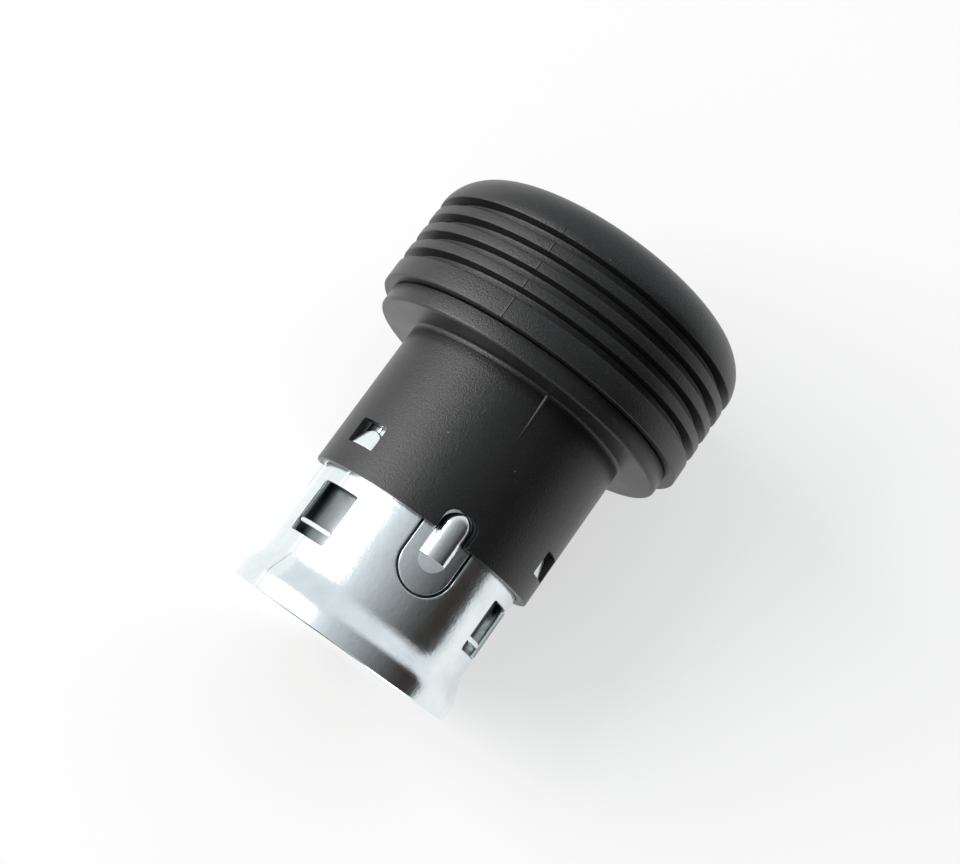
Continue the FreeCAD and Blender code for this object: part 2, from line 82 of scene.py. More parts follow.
TINY = 1e-6
NEARLY_STRAIGHT = math.pi - 0.02
CORNER_SHARE = 0.49
AZIMUTH_DIGITS = 6
BLANK_WELD = 1e-4
ROLL_WELD = 5e-4
CUT_TOLERANCE = 1e-5

SHARP_DEGREES = 35.0
MOULD_SHARP_DEGREES = 40.0
SHEET_SHARP_DEGREES = 28.0
RIDGE_SHARP_DEGREES = 50.0

# Places of the colour sockets on Blender's mix node
MIX_FACTOR = 0
MIX_FIRST = 6
MIX_SECOND = 7
MIX_RESULT = 2

# The spans of the tone mask that colour and roughness follow
TONE_SPAN = (0.3, 0.7)
ROUGH_SPAN = (0.25, 0.75)


class Body(Enum):
    """The rigid bodies that a piece can ride on."""

    HOUSING = "housing"
    GUARD = "guard"


class Slot(Enum):
    """Names for the pieces' material slots, which the script lists but gives to no piece."""

    KNOB = "knob_plastic"
    SHANK = "shank_plastic"
    SLEEVE = "plated_sheet"
    GUARD = "guard_sheet"
    CUP = "cup_sheet"
    COIL = "coil_alloy"
    SPRING = "spring_steel"


# Small mesh tools


def round_corner(before: Point, corner: Point, after: Point, radius: float, steps: int = 6) -> list[Point]:
    """Replaces one corner of a profile by an arc.

    Args:
        before: The point before the corner.
        corner: The corner itself.
        after: The point after the corner.
        radius: The arc's radius.
        steps: The number of spans along the arc.

    Returns:
        The points of the arc, or the corner alone where it can't be rounded.
    """
    place = Vector(corner)
    back = Vector(before) - place
    ahead = Vector(after) - place
    if radius <= 0.0 or back.length < TINY or ahead.length < TINY:
        return [corner]
    angle = back.angle(ahead)
    if angle > NEARLY_STRAIGHT:
        return [corner]
    slope = math.tan(angle / 2.0)
    reach = min(radius / slope, back.length * CORNER_SHARE, ahead.length * CORNER_SHARE)
    radius = reach * slope
    back.normalize()
    ahead.normalize()
    middle = place + (back + ahead).normalized() * (radius / math.sin(angle / 2.0))
    first = place + back * reach - middle
    last = place + ahead * reach - middle
    turn = first.angle_signed(last)
    points = []
    for step in range(steps + 1):
        arm = first.copy()
        arm.rotate(Matrix.Rotation(-turn * step / steps, 2))
        points.append((middle.x + arm.x, middle.y + arm.y))
    return points


def rounded_profile(corners: Sequence[Corner], steps: int = 6) -> list[Point]:
    """Rounds a closed profile.

    Args:
        corners: Places with the rounding radius of each: across, up, radius.
        steps: The number of spans along each arc.

    Returns:
        The points of the rounded profile.
    """
    points: list[Point] = []
    count = len(corners)
    for index, (x, y, radius) in enumerate(corners):
        before = corners[index - 1][:2]
        after = corners[(index + 1) % count][:2]
        points.extend(round_corner(before, (x, y), after, radius, steps))
    return points


def rounded_window(middle: float, width: float, low: float, high: float, radius: float,
                   steps: int) -> list[Point]:
    """Outlines an upright window in a blank.

    Args:
        middle: Where its middle lies across the blank.
        width: Its width.
        low: The height of its lower edge.
        high: The height of its upper edge.
        radius: The rounding of its corners.
        steps: The number of spans along each rounding.

    Returns:
        The points of the window's edge.
    """
    left, right = middle - width / 2.0, middle + width / 2.0
    corners = [(left, low, radius), (right, low, radius), (right, high, radius), (left, high, radius)]
    return rounded_profile(corners, steps)


def arc_points(centre: Point, radius: float, start: float, end: float, steps: int) -> list[Point]:
    """Points along an arc, from the start to the end angle."""
    spans = [start + (end - start) * step / steps for step in range(steps + 1)]
    return [(centre[0] + radius * math.cos(a), centre[1] + radius * math.sin(a)) for a in spans]


def divisions(start: float, length: float, count: int) -> list[float]:
    """The inner places that divide a length into equal spans."""
    return [start + length * k / count for k in range(1, count)]


def polar(radius: float, azimuth: float, height: float) -> Vector:
    """A place round the axis: azimuth 0 faces -Y and grows towards +X."""
    return Vector((radius * math.sin(azimuth), -radius * math.cos(azimuth), height))


def even_azimuths(count: int, extra: Iterable[float] = ()) -> list[float]:
    """Spaces azimuths evenly once round.

    Args:
        count: How many there are.
        extra: Further azimuths, put in their place.

    Returns:
        The azimuths in order.
    """
    spans = {round(FULL_TURN * index / count, AZIMUTH_DIGITS) for index in range(count)}
    for azimuth in extra:
        spans.add(round(azimuth % FULL_TURN, AZIMUTH_DIGITS))
    return sorted(spans)


def lathe(profile: Sequence[Point], azimuths: Sequence[float],
          shift: Callable[[float, float, float], float] | None = None) -> Mesh:
    """Turns a closed profile about the axis.

    Args:
        profile: Radius and height of each point.
        azimuths: The angles of the columns, once round.
        shift: Gives an outward shift for a radius, height and azimuth.

    Returns:
        The turned mesh.
    """
    bm = bmesh.new()
    columns: list[list[bmesh.types.BMVert]] = []
    poles: dict[int, bmesh.types.BMVert] = {}
    for azimuth in azimuths:
        column = []
        for index, (radius, height) in enumerate(profile):
            if radius < TINY:
                if index not in poles:
                    poles[index] = bm.verts.new((0.0, 0.0, height))
                column.append(poles[index])
                continue
            out = radius + (shift(radius, height, azimuth) if shift else 0.0)
            column.append(bm.verts.new(polar(out, azimuth, height)))
        columns.append(column)
    count = len(profile)
    for index, column in enumerate(columns):
        following = columns[(index + 1) % len(columns)]
        for step in range(count):
            ahead = (step + 1) % count
            ring = [column[step], following[step], following[ahead], column[ahead]]
            corners = list(dict.fromkeys(ring))
            if len(corners) >= 3:
                bm.faces.new(corners)
    bmesh.ops.recalc_face_normals(bm, faces=bm.faces)
    return bm


def skin_rows(rows: Sequence[Sequence[Sequence[float]]]) -> Mesh:
    """Joins closed rows of points into one skin with flat ends.

    Args:
        rows: The rows in order, each with as many points as the others.

    Returns:
        The closed mesh.
    """
    bm = bmesh.new()
    rings = [[bm.verts.new(point) for point in row] for row in rows]
    count = len(rings[0])
    for first, second in zip(rings, rings[1:]):
        for k in range(count):
            ahead = (k + 1) % count
            bm.faces.new((first[k], first[ahead], second[ahead], second[k]))
    bm.faces.new(rings[0])
    bm.faces.new(rings[-1])
    bmesh.ops.recalc_face_normals(bm, faces=bm.faces)
    return bm


def flat_sheet(outline: Sequence[Point], holes: Sequence[Sequence[Point]], gauge: float,
               edge: float) -> Mesh:
    """Cuts a flat blank with rounded edges.

    Args:
        outline: The blank's outer edge.
        holes: The edges of its openings.
        gauge: The sheet's thickness.
        edge: How far its cut edges are rounded.

    Returns:
        The blank, lying in X and Y with its thickness about Z = 0.
    """
    curve = bpy.data.curves.new("blank", "CURVE")
    curve.dimensions = "2D"
    curve.fill_mode = "BOTH"
    curve.extrude = gauge / 2.0 - edge
    curve.bevel_depth = edge
    curve.bevel_resolution = 1
    curve.offset = -edge
    for loop in [outline, *holes]:
        spline = curve.splines.new("POLY")
        spline.points.add(len(loop) - 1)
        for point, (x, y) in zip(spline.points, loop):
            point.co = (x, y, 0.0, 1.0)
        spline.use_cyclic_u = True
    blank = bpy.data.objects.new("blank", curve)
    bpy.context.scene.collection.objects.link(blank)
    graph = bpy.context.evaluated_depsgraph_get()
    mesh = bpy.data.meshes.new_from_object(blank.evaluated_get(graph))
    bm = bmesh.new()
    bm.from_mesh(mesh)
    bpy.data.objects.remove(blank)
    bpy.data.curves.remove(curve)
    bpy.data.meshes.remove(mesh)
    bmesh.ops.remove_doubles(bm, verts=bm.verts, dist=BLANK_WELD)
    return bm


def cut_blank(bm: Mesh, place: float, axis: Sequence[float], trim: bool = False) -> None:
    """Cuts a blank's faces along a line square to an axis.

    Args:
        bm: The blank.
        place: How far along the axis the line lies.
        axis: The axis, a unit long.
        trim: Whether what lies beyond the line is taken away.
    """
    bmesh.ops.bisect_plane(bm, geom=[*bm.verts, *bm.edges, *bm.faces], dist=CUT_TOLERANCE,
                           plane_co=Vector(axis) * place, plane_no=axis, clear_outer=trim)


def slice_blank(bm: Mesh, places: Iterable[float], axis: Sequence[float]) -> None:
    """Cuts a blank along several lines, so that it can bend there."""
    for place in places:
        cut_blank(bm, place, axis)


def close_pinholes(bm: Mesh) -> None:
    """Fills the small openings that slicing can leave, and turns every face outwards.

    Args:
        bm: The mesh.
    """
    edges = [edge for edge in bm.edges if edge.is_boundary]
    if edges:
        LOG.info("open edges closed: %d", len(edges))
        bmesh.ops.holes_fill(bm, edges=edges, sides=0)
    bmesh.ops.recalc_face_normals(bm, faces=bm.faces)


def merge_into(bm: Mesh, other: Mesh) -> None:
    """Adds a second mesh to the first.

    Args:
        bm: The mesh that grows.
        other: The mesh that is added. It is freed.
    """
    mesh = bpy.data.meshes.new("merge")
    other.to_mesh(mesh)
    other.free()
    bm.from_mesh(mesh)
    bpy.data.meshes.remove(mesh)


def finish_mesh(bm: Mesh, name: str, sharp: float = SHARP_DEGREES) -> Piece:
    """Scales a mesh from millimetres, shades it smooth and puts it in the scene.

    Args:
        bm: The mesh. It is freed.
        name: The piece's name.
        sharp: The angle in degrees past which an edge stays sharp.

    Returns:
        The new piece, at the origin.
    """
    bmesh.ops.scale(bm, vec=(MM, MM, MM), verts=bm.verts)
    mesh = bpy.data.meshes.new(name)
    bm.to_mesh(mesh)
    bm.free()
    mesh.shade_smooth()
    mesh.set_sharp_from_angle(angle=math.radians(sharp))
    piece = bpy.data.objects.new(name, mesh)
    bpy.context.scene.collection.objects.link(piece)
    return piece


# Node tools


@dataclass
class NodeBench:
    """Makes and joins the nodes of one tree."""

    tree: Tree

    def feed(self, node: Node, values: dict[str | int, object]) -> None:
        """Fills a node's inputs.

        Args:
            node: The node.
            values: A socket to join, or a plain value, for each input by name or place.
        """
        for name, value in values.items():
            if isinstance(value, Socket):
                self.tree.links.new(value, node.inputs[name])
            else:
                node.inputs[name].default_value = value

    def node(self, kind: str, values: dict[str | int, object] | None = None, **settings: object) -> Node:
        """Adds a node.

        Args:
            kind: The node's type.
            values: What its inputs take.
            **settings: The properties to set on it.

        Returns:
            The node.
        """
        made = self.tree.nodes.new(kind)
        for name, value in settings.items():
            setattr(made, name, value)
        self.feed(made, values or {})
        return made

    def noise(self, vector: Socket, scale: Socket | float, detail: float, rough: float) -> Socket:
        """Adds a noise texture and gives its value."""
        inputs = {"Vector": vector, "Scale": scale, "Detail": detail, "Roughness": rough}
        return self.node("ShaderNodeTexNoise", inputs).outputs["Fac"]

    def cells(self, vector: Socket, scale: float) -> Node:
        """Adds a texture of cells round scattered points."""
        return self.node("ShaderNodeTexVoronoi", {"Vector": vector, "Scale": scale}, feature="F1")

    def span(self, value: Socket, low: float, high: float, out_low: float = 0.0,
             out_high: float = 1.0) -> Socket:
        """Maps a value's span to another, clamped.

        Args:
            value: The value.
            low: The start of its span.
            high: The end of its span.
            out_low: What the start becomes.
            out_high: What the end becomes.

        Returns:
            The mapped value.
        """
        inputs = {"Value": value, "From Min": low, "From Max": high, "To Min": out_low, "To Max": out_high}
        return self.node("ShaderNodeMapRange", inputs, clamp=True).outputs["Result"]

    def blend(self, factor: Socket, first: Colour | Socket, second: Colour) -> Socket:
        """Mixes two colours.

        Args:
            factor: The share of the second colour.
            first: The first colour, plain or from a socket.
            second: The second colour.

        Returns:
            The mixed colour.
        """
        start = first if isinstance(first, Socket) else (*first, 1.0)
        inputs = {MIX_FACTOR: factor, MIX_FIRST: start, MIX_SECOND: (*second, 1.0)}
        return self.node("ShaderNodeMix", inputs, data_type="RGBA").outputs[MIX_RESULT]

    def maths(self, operation: str, first: Socket, second: Socket | float) -> Socket:
        """Works out one operation on two values."""
        return self.node("ShaderNodeMath", {0: first, 1: second}, operation=operation).outputs[0]

    def along(self, vector: Socket, direction: Vector) -> Socket:
        """Gives how far a vector reaches along a direction."""
        inputs = {0: vector, 1: tuple(direction)}
        return self.node("ShaderNodeVectorMath", inputs, operation="DOT_PRODUCT").outputs["Value"]

    def bump(self, height: Socket, strength: float, depth: float) -> Socket:
        """Turns a height into a bumped normal."""
        inputs = {"Height": height, "Strength": strength, "Distance": depth}
        return self.node("ShaderNodeBump", inputs).outputs["Normal"]


def new_group(name: str, inputs: dict[str, float], outputs: Sequence[str]) -> tuple[NodeBench, Node, Node]:
    """Starts a shader node group with a vector input, number inputs and number outputs.

    Args:
        name: The group's name.
        inputs: The number inputs and their defaults.
        outputs: The number outputs.

    Returns:
        The group's bench, its input node and its output node.
    """
    group = bpy.data.node_groups.new(name, "ShaderNodeTree")
    group.interface.new_socket("Vector", in_out="INPUT", socket_type="NodeSocketVector")
    for label, value in inputs.items():
        socket = group.interface.new_socket(label, in_out="INPUT", socket_type="NodeSocketFloat")
        socket.default_value = value
    for label in outputs:
        group.interface.new_socket(label, in_out="OUTPUT", socket_type="NodeSocketFloat")
    bench = NodeBench(group)
    return bench, bench.node("NodeGroupInput"), bench.node("NodeGroupOutput")


def mould_grain_group() -> Tree:
    """Makes the spark-eroded grain of a moulded surface, with broad tone changes and pale dust specks.

    Returns:
        The group, which puts out the grain's height, the tone, the specks and the pale flecks.
    """
    inputs = {"Grain": 5200.0, "Dust": 0.5}
    bench, source, sink = new_group("mould_grain", inputs, ["Height", "Tone", "Speck", "Fleck"])
    place = source.outputs["Vector"]
    grain = bench.noise(place, source.outputs["Grain"], detail=3.0, rough=0.6)
    pit_weight = 0.25
    pits = bench.maths("MULTIPLY", bench.cells(place, scale=5200.0).outputs["Distance"], pit_weight)
    dust = bench.cells(place, scale=620.0)
    grains = bench.span(dust.outputs["Distance"], low=0.02, high=0.055, out_low=1.0, out_high=0.0)
    chance = bench.node("ShaderNodeSeparateColor", {"Color": dust.outputs["Color"]})
    speck = bench.maths("MULTIPLY", grains, bench.span(chance.outputs["Red"], low=0.82, high=0.84))
    bench.feed(sink, {
        "Height": bench.maths("ADD", grain, pits),
        "Tone": bench.noise(place, scale=160.0, detail=4.0, rough=0.6),
        "Speck": bench.maths("MULTIPLY", speck, source.outputs["Dust"]),
        "Fleck": bench.span(grain, low=0.52, high=0.70),
    })
    return bench.tree


def plate_mottle_group() -> Tree:
    """Makes the faint ripple, spangle and handling marks of plated sheet.

    Returns:
        The group, which puts out the ripple's height, the tone and the scuffs.
    """
    bench, source, sink = new_group("plate_mottle", {"Ripple": 700.0}, ["Height", "Tone", "Scuff"])
    place = source.outputs["Vector"]
    ripple = bench.noise(place, source.outputs["Ripple"], detail=3.0, rough=0.55)
    spangle_weight = 0.25
    fine = bench.noise(place, scale=4200.0, detail=2.0, rough=0.5)
    spangle = bench.maths("MULTIPLY", fine, spangle_weight)
    stretch = bench.node("ShaderNodeMapping", {"Vector": place, "Scale": (900.0, 900.0, 60.0)})
    drawn = bench.noise(stretch.outputs["Vector"], scale=6.0, detail=4.0, rough=0.7)
    bench.feed(sink, {
        "Height": bench.maths("ADD", ripple, spangle),
        "Tone": bench.noise(place, scale=260.0, detail=5.0, rough=0.65),
        "Scuff": bench.span(drawn, low=0.62, high=0.75),
    })
    return bench.tree


# Finishes


def pattern_material(name: str, group: Tree, values: dict[str, float]) -> tuple[Material, NodeBench, Node]:
    """Starts a material with a pattern on the piece's own coordinates.

    Args:
        name: The material's name.
        group: The pattern's shared group.
        values: The group's inputs.

    Returns:
        The material, its bench and the pattern's node.
    """
    material = bpy.data.materials.new(name)
    material.use_nodes = True
    bench = NodeBench(material.node_tree)
    where = bench.node("ShaderNodeTexCoord")
    inputs = {"Vector": where.outputs["Object"], **values}
    return material, bench, bench.node("ShaderNodeGroup", inputs, node_tree=group)


@dataclass(frozen=True)
class MouldedFinish:
    """A moulded, fired or pressed surface with a fine grain."""

    name: str
    dark: Colour
    pale: Colour
    rough: tuple[float, float]
    grain: float
    dust: float
    bump: float
    fleck: float = 3.0
    depth: float = 0.0001
    shine: float = 0.46
    dust_colour: Colour = (0.24, 0.24, 0.235)

    def make(self, grain_group: Tree) -> Material:
        """Builds the material.

        Args:
            grain_group: The shared grain.

        Returns:
            The material.
        """
        values = {"Grain": self.grain, "Dust": self.dust}
        material, bench, grain = pattern_material(self.name, grain_group, values)
        masks = grain.outputs
        plain = bench.blend(bench.span(masks["Tone"], *TONE_SPAN), self.dark, self.pale)
        bright = tuple(min(1.0, tint * self.fleck) for tint in self.pale)
        flecked = bench.blend(masks["Fleck"], plain, bright)
        bench.feed(material.node_tree.nodes["Principled BSDF"], {
            "Base Color": bench.blend(masks["Speck"], flecked, self.dust_colour),
            "Roughness": bench.span(masks["Tone"], *ROUGH_SPAN, *self.rough),
            "Normal": bench.bump(masks["Height"], self.bump, self.depth),
            "Specular IOR Level": self.shine,
        })
        return material


@dataclass(frozen=True)
class SheetFinish:
    """Bare or plated metal."""

    name: str
    dark: Colour
    pale: Colour
    rough: tuple[float, float]
    ripple: float = 700.0
    bump: float = 0.12
    scuff: float = 0.12
    depth: float = 0.00005

    def make(self, mottle_group: Tree) -> Material:
        """Builds the material.

        Args:
            mottle_group: The shared mottle.

        Returns:
            The material.
        """
        material, bench, mottle = pattern_material(self.name, mottle_group, {"Ripple": self.ripple})
        masks = mottle.outputs
        low, high = self.rough
        plain = bench.span(masks["Tone"], *ROUGH_SPAN, high, low)
        scuffed = bench.maths("MULTIPLY", masks["Scuff"], self.scuff)
        bench.feed(material.node_tree.nodes["Principled BSDF"], {
            "Base Color": bench.blend(bench.span(masks["Tone"], *TONE_SPAN), self.dark, self.pale),
            "Metallic": 1.0,
            "Roughness": bench.maths("ADD", plain, scuffed),
            "Normal": bench.bump(masks["Height"], self.bump, self.depth),
        })
        return material


KNOB_BLACK = MouldedFinish("knob_black", (0.0042, 0.0043, 0.0044), (0.0066, 0.0067, 0.0068), (0.32, 0.40),
                           grain=6500.0, dust=0.4, bump=0.42)
SHANK_BLACK = MouldedFinish("shank_black", (0.0034, 0.0034, 0.0034), (0.0056, 0.0056, 0.0056), (0.28, 0.36),
                            grain=8000.0, dust=0.8, bump=0.42)
FIRED_CERAMIC = MouldedFinish("fired_ceramic", (0.62, 0.59, 0.53), (0.76, 0.74, 0.69), (0.55, 0.7),
                              grain=2600.0, dust=0.0, bump=0.3, fleck=1.1)
PRESSED_MICA = MouldedFinish("pressed_mica", (0.30, 0.23, 0.14), (0.46, 0.38, 0.26), (0.35, 0.5),
                             grain=1800.0, dust=0.2, bump=0.3, fleck=1.2)
PLATED_SHEET = SheetFinish("plated_sheet", (0.74, 0.81, 0.825), (0.89, 0.94, 0.95), (0.13, 0.23),
                           ripple=1500.0, bump=0.34, scuff=0.10)
GUARD_SHEET = SheetFinish("guard_sheet", (0.12, 0.135, 0.14), (0.22, 0.245, 0.25), (0.30, 0.42))
PLATED_SMALL = SheetFinish("plated_small", (0.55, 0.56, 0.57), (0.70, 0.71, 0.72), (0.20, 0.32))
CUP_SHEET = SheetFinish("cup_sheet", (0.34, 0.32, 0.30), (0.52, 0.50, 0.48), (0.25, 0.42))
SPRING_WIRE = SheetFinish("spring_wire", (0.30, 0.30, 0.31), (0.44, 0.44, 0.45), (0.28, 0.40))
HEATING_RIBBON = SheetFinish("heating_ribbon", (0.10, 0.09, 0.085), (0.21, 0.19, 0.18), (0.42, 0.6))


@dataclass
class Finishes:
    """All the finishes of the lighter, made once."""

    knob: Material = field(init=False)
    shank: Material = field(init=False)
    plated: Material = field(init=False)
    guard: Material = field(init=False)
    small: Material = field(init=False)
    cup: Material = field(init=False)
    spring: Material = field(init=False)
    element: Material = field(init=False)
    ceramic: Material = field(init=False)
    mica: Material = field(init=False)

    def __post_init__(self) -> None:
        """Builds the shared groups and every material."""
        grain = mould_grain_group()
        mottle = plate_mottle_group()
        self.knob = KNOB_BLACK.make(grain)
        self.shank = SHANK_BLACK.make(grain)
        self.plated = PLATED_SHEET.make(mottle)
        self.guard = GUARD_SHEET.make(mottle)
        self.small = PLATED_SMALL.make(mottle)
        self.cup = CUP_SHEET.make(mottle)
        self.spring = SPRING_WIRE.make(mottle)
        self.element = HEATING_RIBBON.make(mottle)
        self.ceramic = FIRED_CERAMIC.make(grain)
        self.mica = PRESSED_MICA.make(grain)


def dress(piece: Piece, material: Material) -> None:
    """Gives a piece one finish."""
    piece.data.materials.clear()
    piece.data.materials.append(material)


def dress_node(node: Piece, material: Material) -> None:
    """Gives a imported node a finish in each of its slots.

    Args:
        node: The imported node.
        material: Its finish.
    """
    if not node.material_slots:
        node.data.materials.append(material)
    for slot in node.material_slots:
        slot.material = material


def settle(piece: Piece, body: Body, solid: str | None = None) -> None:
    """Puts a finished piece on its body.

    Args:
        piece: The piece.
        body: The body that it rides on.
        solid: The solid that it stands in for, where it does.
    """
    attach(piece, body.value)
    if solid:
        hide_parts(solid)


# Small parts that repeat round the axis


def ring_tree(name: str) -> Tree:
    """Makes a geometry tree that repeats its mesh evenly round the axis.

    Args:
        name: The tree's name.

    Returns:
        The tree, with inputs for the mesh, the count, the first azimuth and the material.
    """
    tree = bpy.data.node_groups.new(name, "GeometryNodeTree")
    sockets = {"Geometry": "NodeSocketGeometry", "Count": "NodeSocketInt",
               "First azimuth": "NodeSocketFloat", "Material": "NodeSocketMaterial"}
    for label, kind in sockets.items():
        tree.interface.new_socket(label, in_out="INPUT", socket_type=kind)
    tree.interface.new_socket("Geometry", in_out="OUTPUT", socket_type="NodeSocketGeometry")
    bench = NodeBench(tree)
    source = bench.node("NodeGroupInput").outputs
    points = bench.node("GeometryNodePoints", {"Count": source["Count"]})
    index = bench.node("GeometryNodeInputIndex")
    step = bench.node("ShaderNodeMath", {0: FULL_TURN, 1: source["Count"]}, operation="DIVIDE")
    places = {0: index.outputs["Index"], 1: step.outputs[0], 2: source["First azimuth"]}
    turn = bench.node("ShaderNodeMath", places, operation="MULTIPLY_ADD")
    rotation = bench.node("ShaderNodeCombineXYZ", {"Z": turn.outputs[0]})
    instances = bench.node("GeometryNodeInstanceOnPoints", {
        "Points": points.outputs[0],
        "Instance": source["Geometry"],
        "Rotation": rotation.outputs[0],
    })
    real = bench.node("GeometryNodeRealizeInstances", {0: instances.outputs[0]})
    coat = {"Geometry": real.outputs[0], "Material": source["Material"]}
    paint = bench.node("GeometryNodeSetMaterial", coat)
    bench.node("NodeGroupOutput", {0: paint.outputs[0]})
    return tree


def repeat_round(piece: Piece, tree: Tree, first: float, material: Material) -> Piece:
    """Repeats a small piece round the axis and leaves one plain mesh.

    Args:
        piece: The piece at azimuth 0.
        tree: The repeating tree.
        first: The azimuth of the first one.
        material: Their finish.

    Returns:
        The same object, with the repeated mesh.
    """
    modifier = piece.modifiers.new("round", "NODES")
    modifier.node_group = tree
    idents = {item.name: item.identifier for item in tree.interface.items_tree if item.in_out == "INPUT"}
    modifier[idents["Count"]] = REPEATS
    modifier[idents["First azimuth"]] = first
    modifier[idents["Material"]] = material
    graph = bpy.context.evaluated_depsgraph_get()
    mesh = bpy.data.meshes.new_from_object(piece.evaluated_get(graph))
    mesh.name = piece.name
    piece.modifiers.remove(modifier)
    old = piece.data
    piece.data = mesh
    bpy.data.meshes.remove(old)
    mesh.set_sharp_from_angle(angle=math.radians(SHARP_DEGREES))
    return piece


# Sub-assemblies


@dataclass
class Knob:
    """The domed cap with its turned grooves."""

    radius: float = 16.2
    bottom: float = 29.3
    side_top: float = 38.7
    height: float = 43.4
    corner_reach: float = 3.9
    corner_radius: float = 4.3
    dome_rise: float = 1.0
    dome_steps: int = 16
    bore: float = 14.0
    seat: float = 33.0
    pocket_step: float = 0.8
    pocket_fall: float = 6.5
    cap_wall: float = 2.2
    bore_round: float = 0.1
    foot_round: float = 0.16
    groove_first: float = 31.9
    groove_pitch: float = 1.93
    groove_width: float = 1.0
    groove_floor: float = 0.8
    groove_depth: float = 1.15
    crest_round: float = 0.09
    floor_round: float = 0.12
    grooves: int = 4
    columns: int = 256
    parting: float = math.radians(-28.5)
    flash_rise: float = 0.06
    flash_edge: float = 0.08
    flash_skin: float = 0.25
    flash_columns: tuple[float, ...] = (-0.2, -0.06, 0.06, 0.2)

    def side(self) -> list[Point]:
        """Outlines the grooved side.

        Returns:
            The points from the bore's foot up to the shoulder.
        """
        corners: list[Corner] = [(self.bore, self.bottom, self.bore_round),
                                 (self.radius, self.bottom, self.foot_round)]
        half, floor = self.groove_width / 2.0, self.groove_floor / 2.0
        deep = self.radius - self.groove_depth
        for index in range(self.grooves):
            middle = self.groove_first + self.groove_pitch * index
            corners += [(self.radius, middle - half, self.crest_round),
                        (deep, middle - floor, self.floor_round),
                        (deep, middle + floor, self.floor_round),
                        (self.radius, middle + half, self.crest_round)]
        corners += [(self.radius, self.side_top, 0.0), (self.bore, self.side_top, 0.0)]
        return rounded_profile(corners, steps=5)[:-1]

    def crown(self) -> list[Point]:
        """Outlines the shoulder and the domed face.

        Returns:
            The points from the side's top to the axis.
        """
        edge = self.radius - self.corner_reach
        top = self.height - self.dome_rise
        chord = Vector((edge - self.radius, top - self.side_top))
        rise = math.sqrt(self.corner_radius ** 2 - chord.length_squared / 4.0)
        normal = Vector((-chord.y, chord.x)).normalized()
        centre = Vector((self.radius + edge, self.side_top + top)) / 2.0 + normal * rise
        start = math.atan2(self.side_top - centre.y, self.radius - centre.x)
        end = math.atan2(top - centre.y, edge - centre.x)
        points = arc_points((centre.x, centre.y), self.corner_radius, start, end, steps=20)[1:]
        dome = (edge ** 2 + self.dome_rise ** 2) / (2.0 * self.dome_rise)
        first = math.asin(edge / dome)
        for step in range(1, self.dome_steps):
            angle = first * (1 - step / self.dome_steps)
            points.append((dome * math.sin(angle), self.height - dome + dome * math.cos(angle)))
        return [*points, (0.0, self.height)]

    def pocket(self) -> list[Point]:
        """Outlines the hollow under the face, from the axis to the bore."""
        wall = self.bore - self.pocket_step
        return [(0.0, self.height - self.cap_wall), (wall, self.height - self.pocket_fall), (wall, self.seat),
                (self.bore, self.seat)]

    def flash(self, radius: float, height: float, azimuth: float) -> float:
        """Raises the thin line that the mould's halves left down the ribs.

        Args:
            radius: The radius of a point.
            height: Its height.
            azimuth: Its azimuth.

        Returns:
            How far the point stands out.
        """
        if radius < self.radius - self.flash_skin or height > self.side_top:
            return 0.0
        past = (azimuth - self.parting) % math.pi
        return self.flash_rise if past * self.radius < self.flash_edge else 0.0

    def build(self, finishes: Finishes) -> Piece:
        """Builds the knob and stands it in for its solid.

        Args:
            finishes: The lighter's finishes.

        Returns:
            The knob.
        """
        extra = [self.parting + half + off / self.radius
                 for half in (0.0, math.pi) for off in self.flash_columns]
        profile = self.side() + self.crown() + self.pocket()
        bm = lathe(profile, even_azimuths(self.columns, extra), self.flash)
        piece = finish_mesh(bm, "knob_cap", MOULD_SHARP_DEGREES)
        dress(piece, finishes.knob)
        settle(piece, Body.HOUSING, "knob")
        return piece


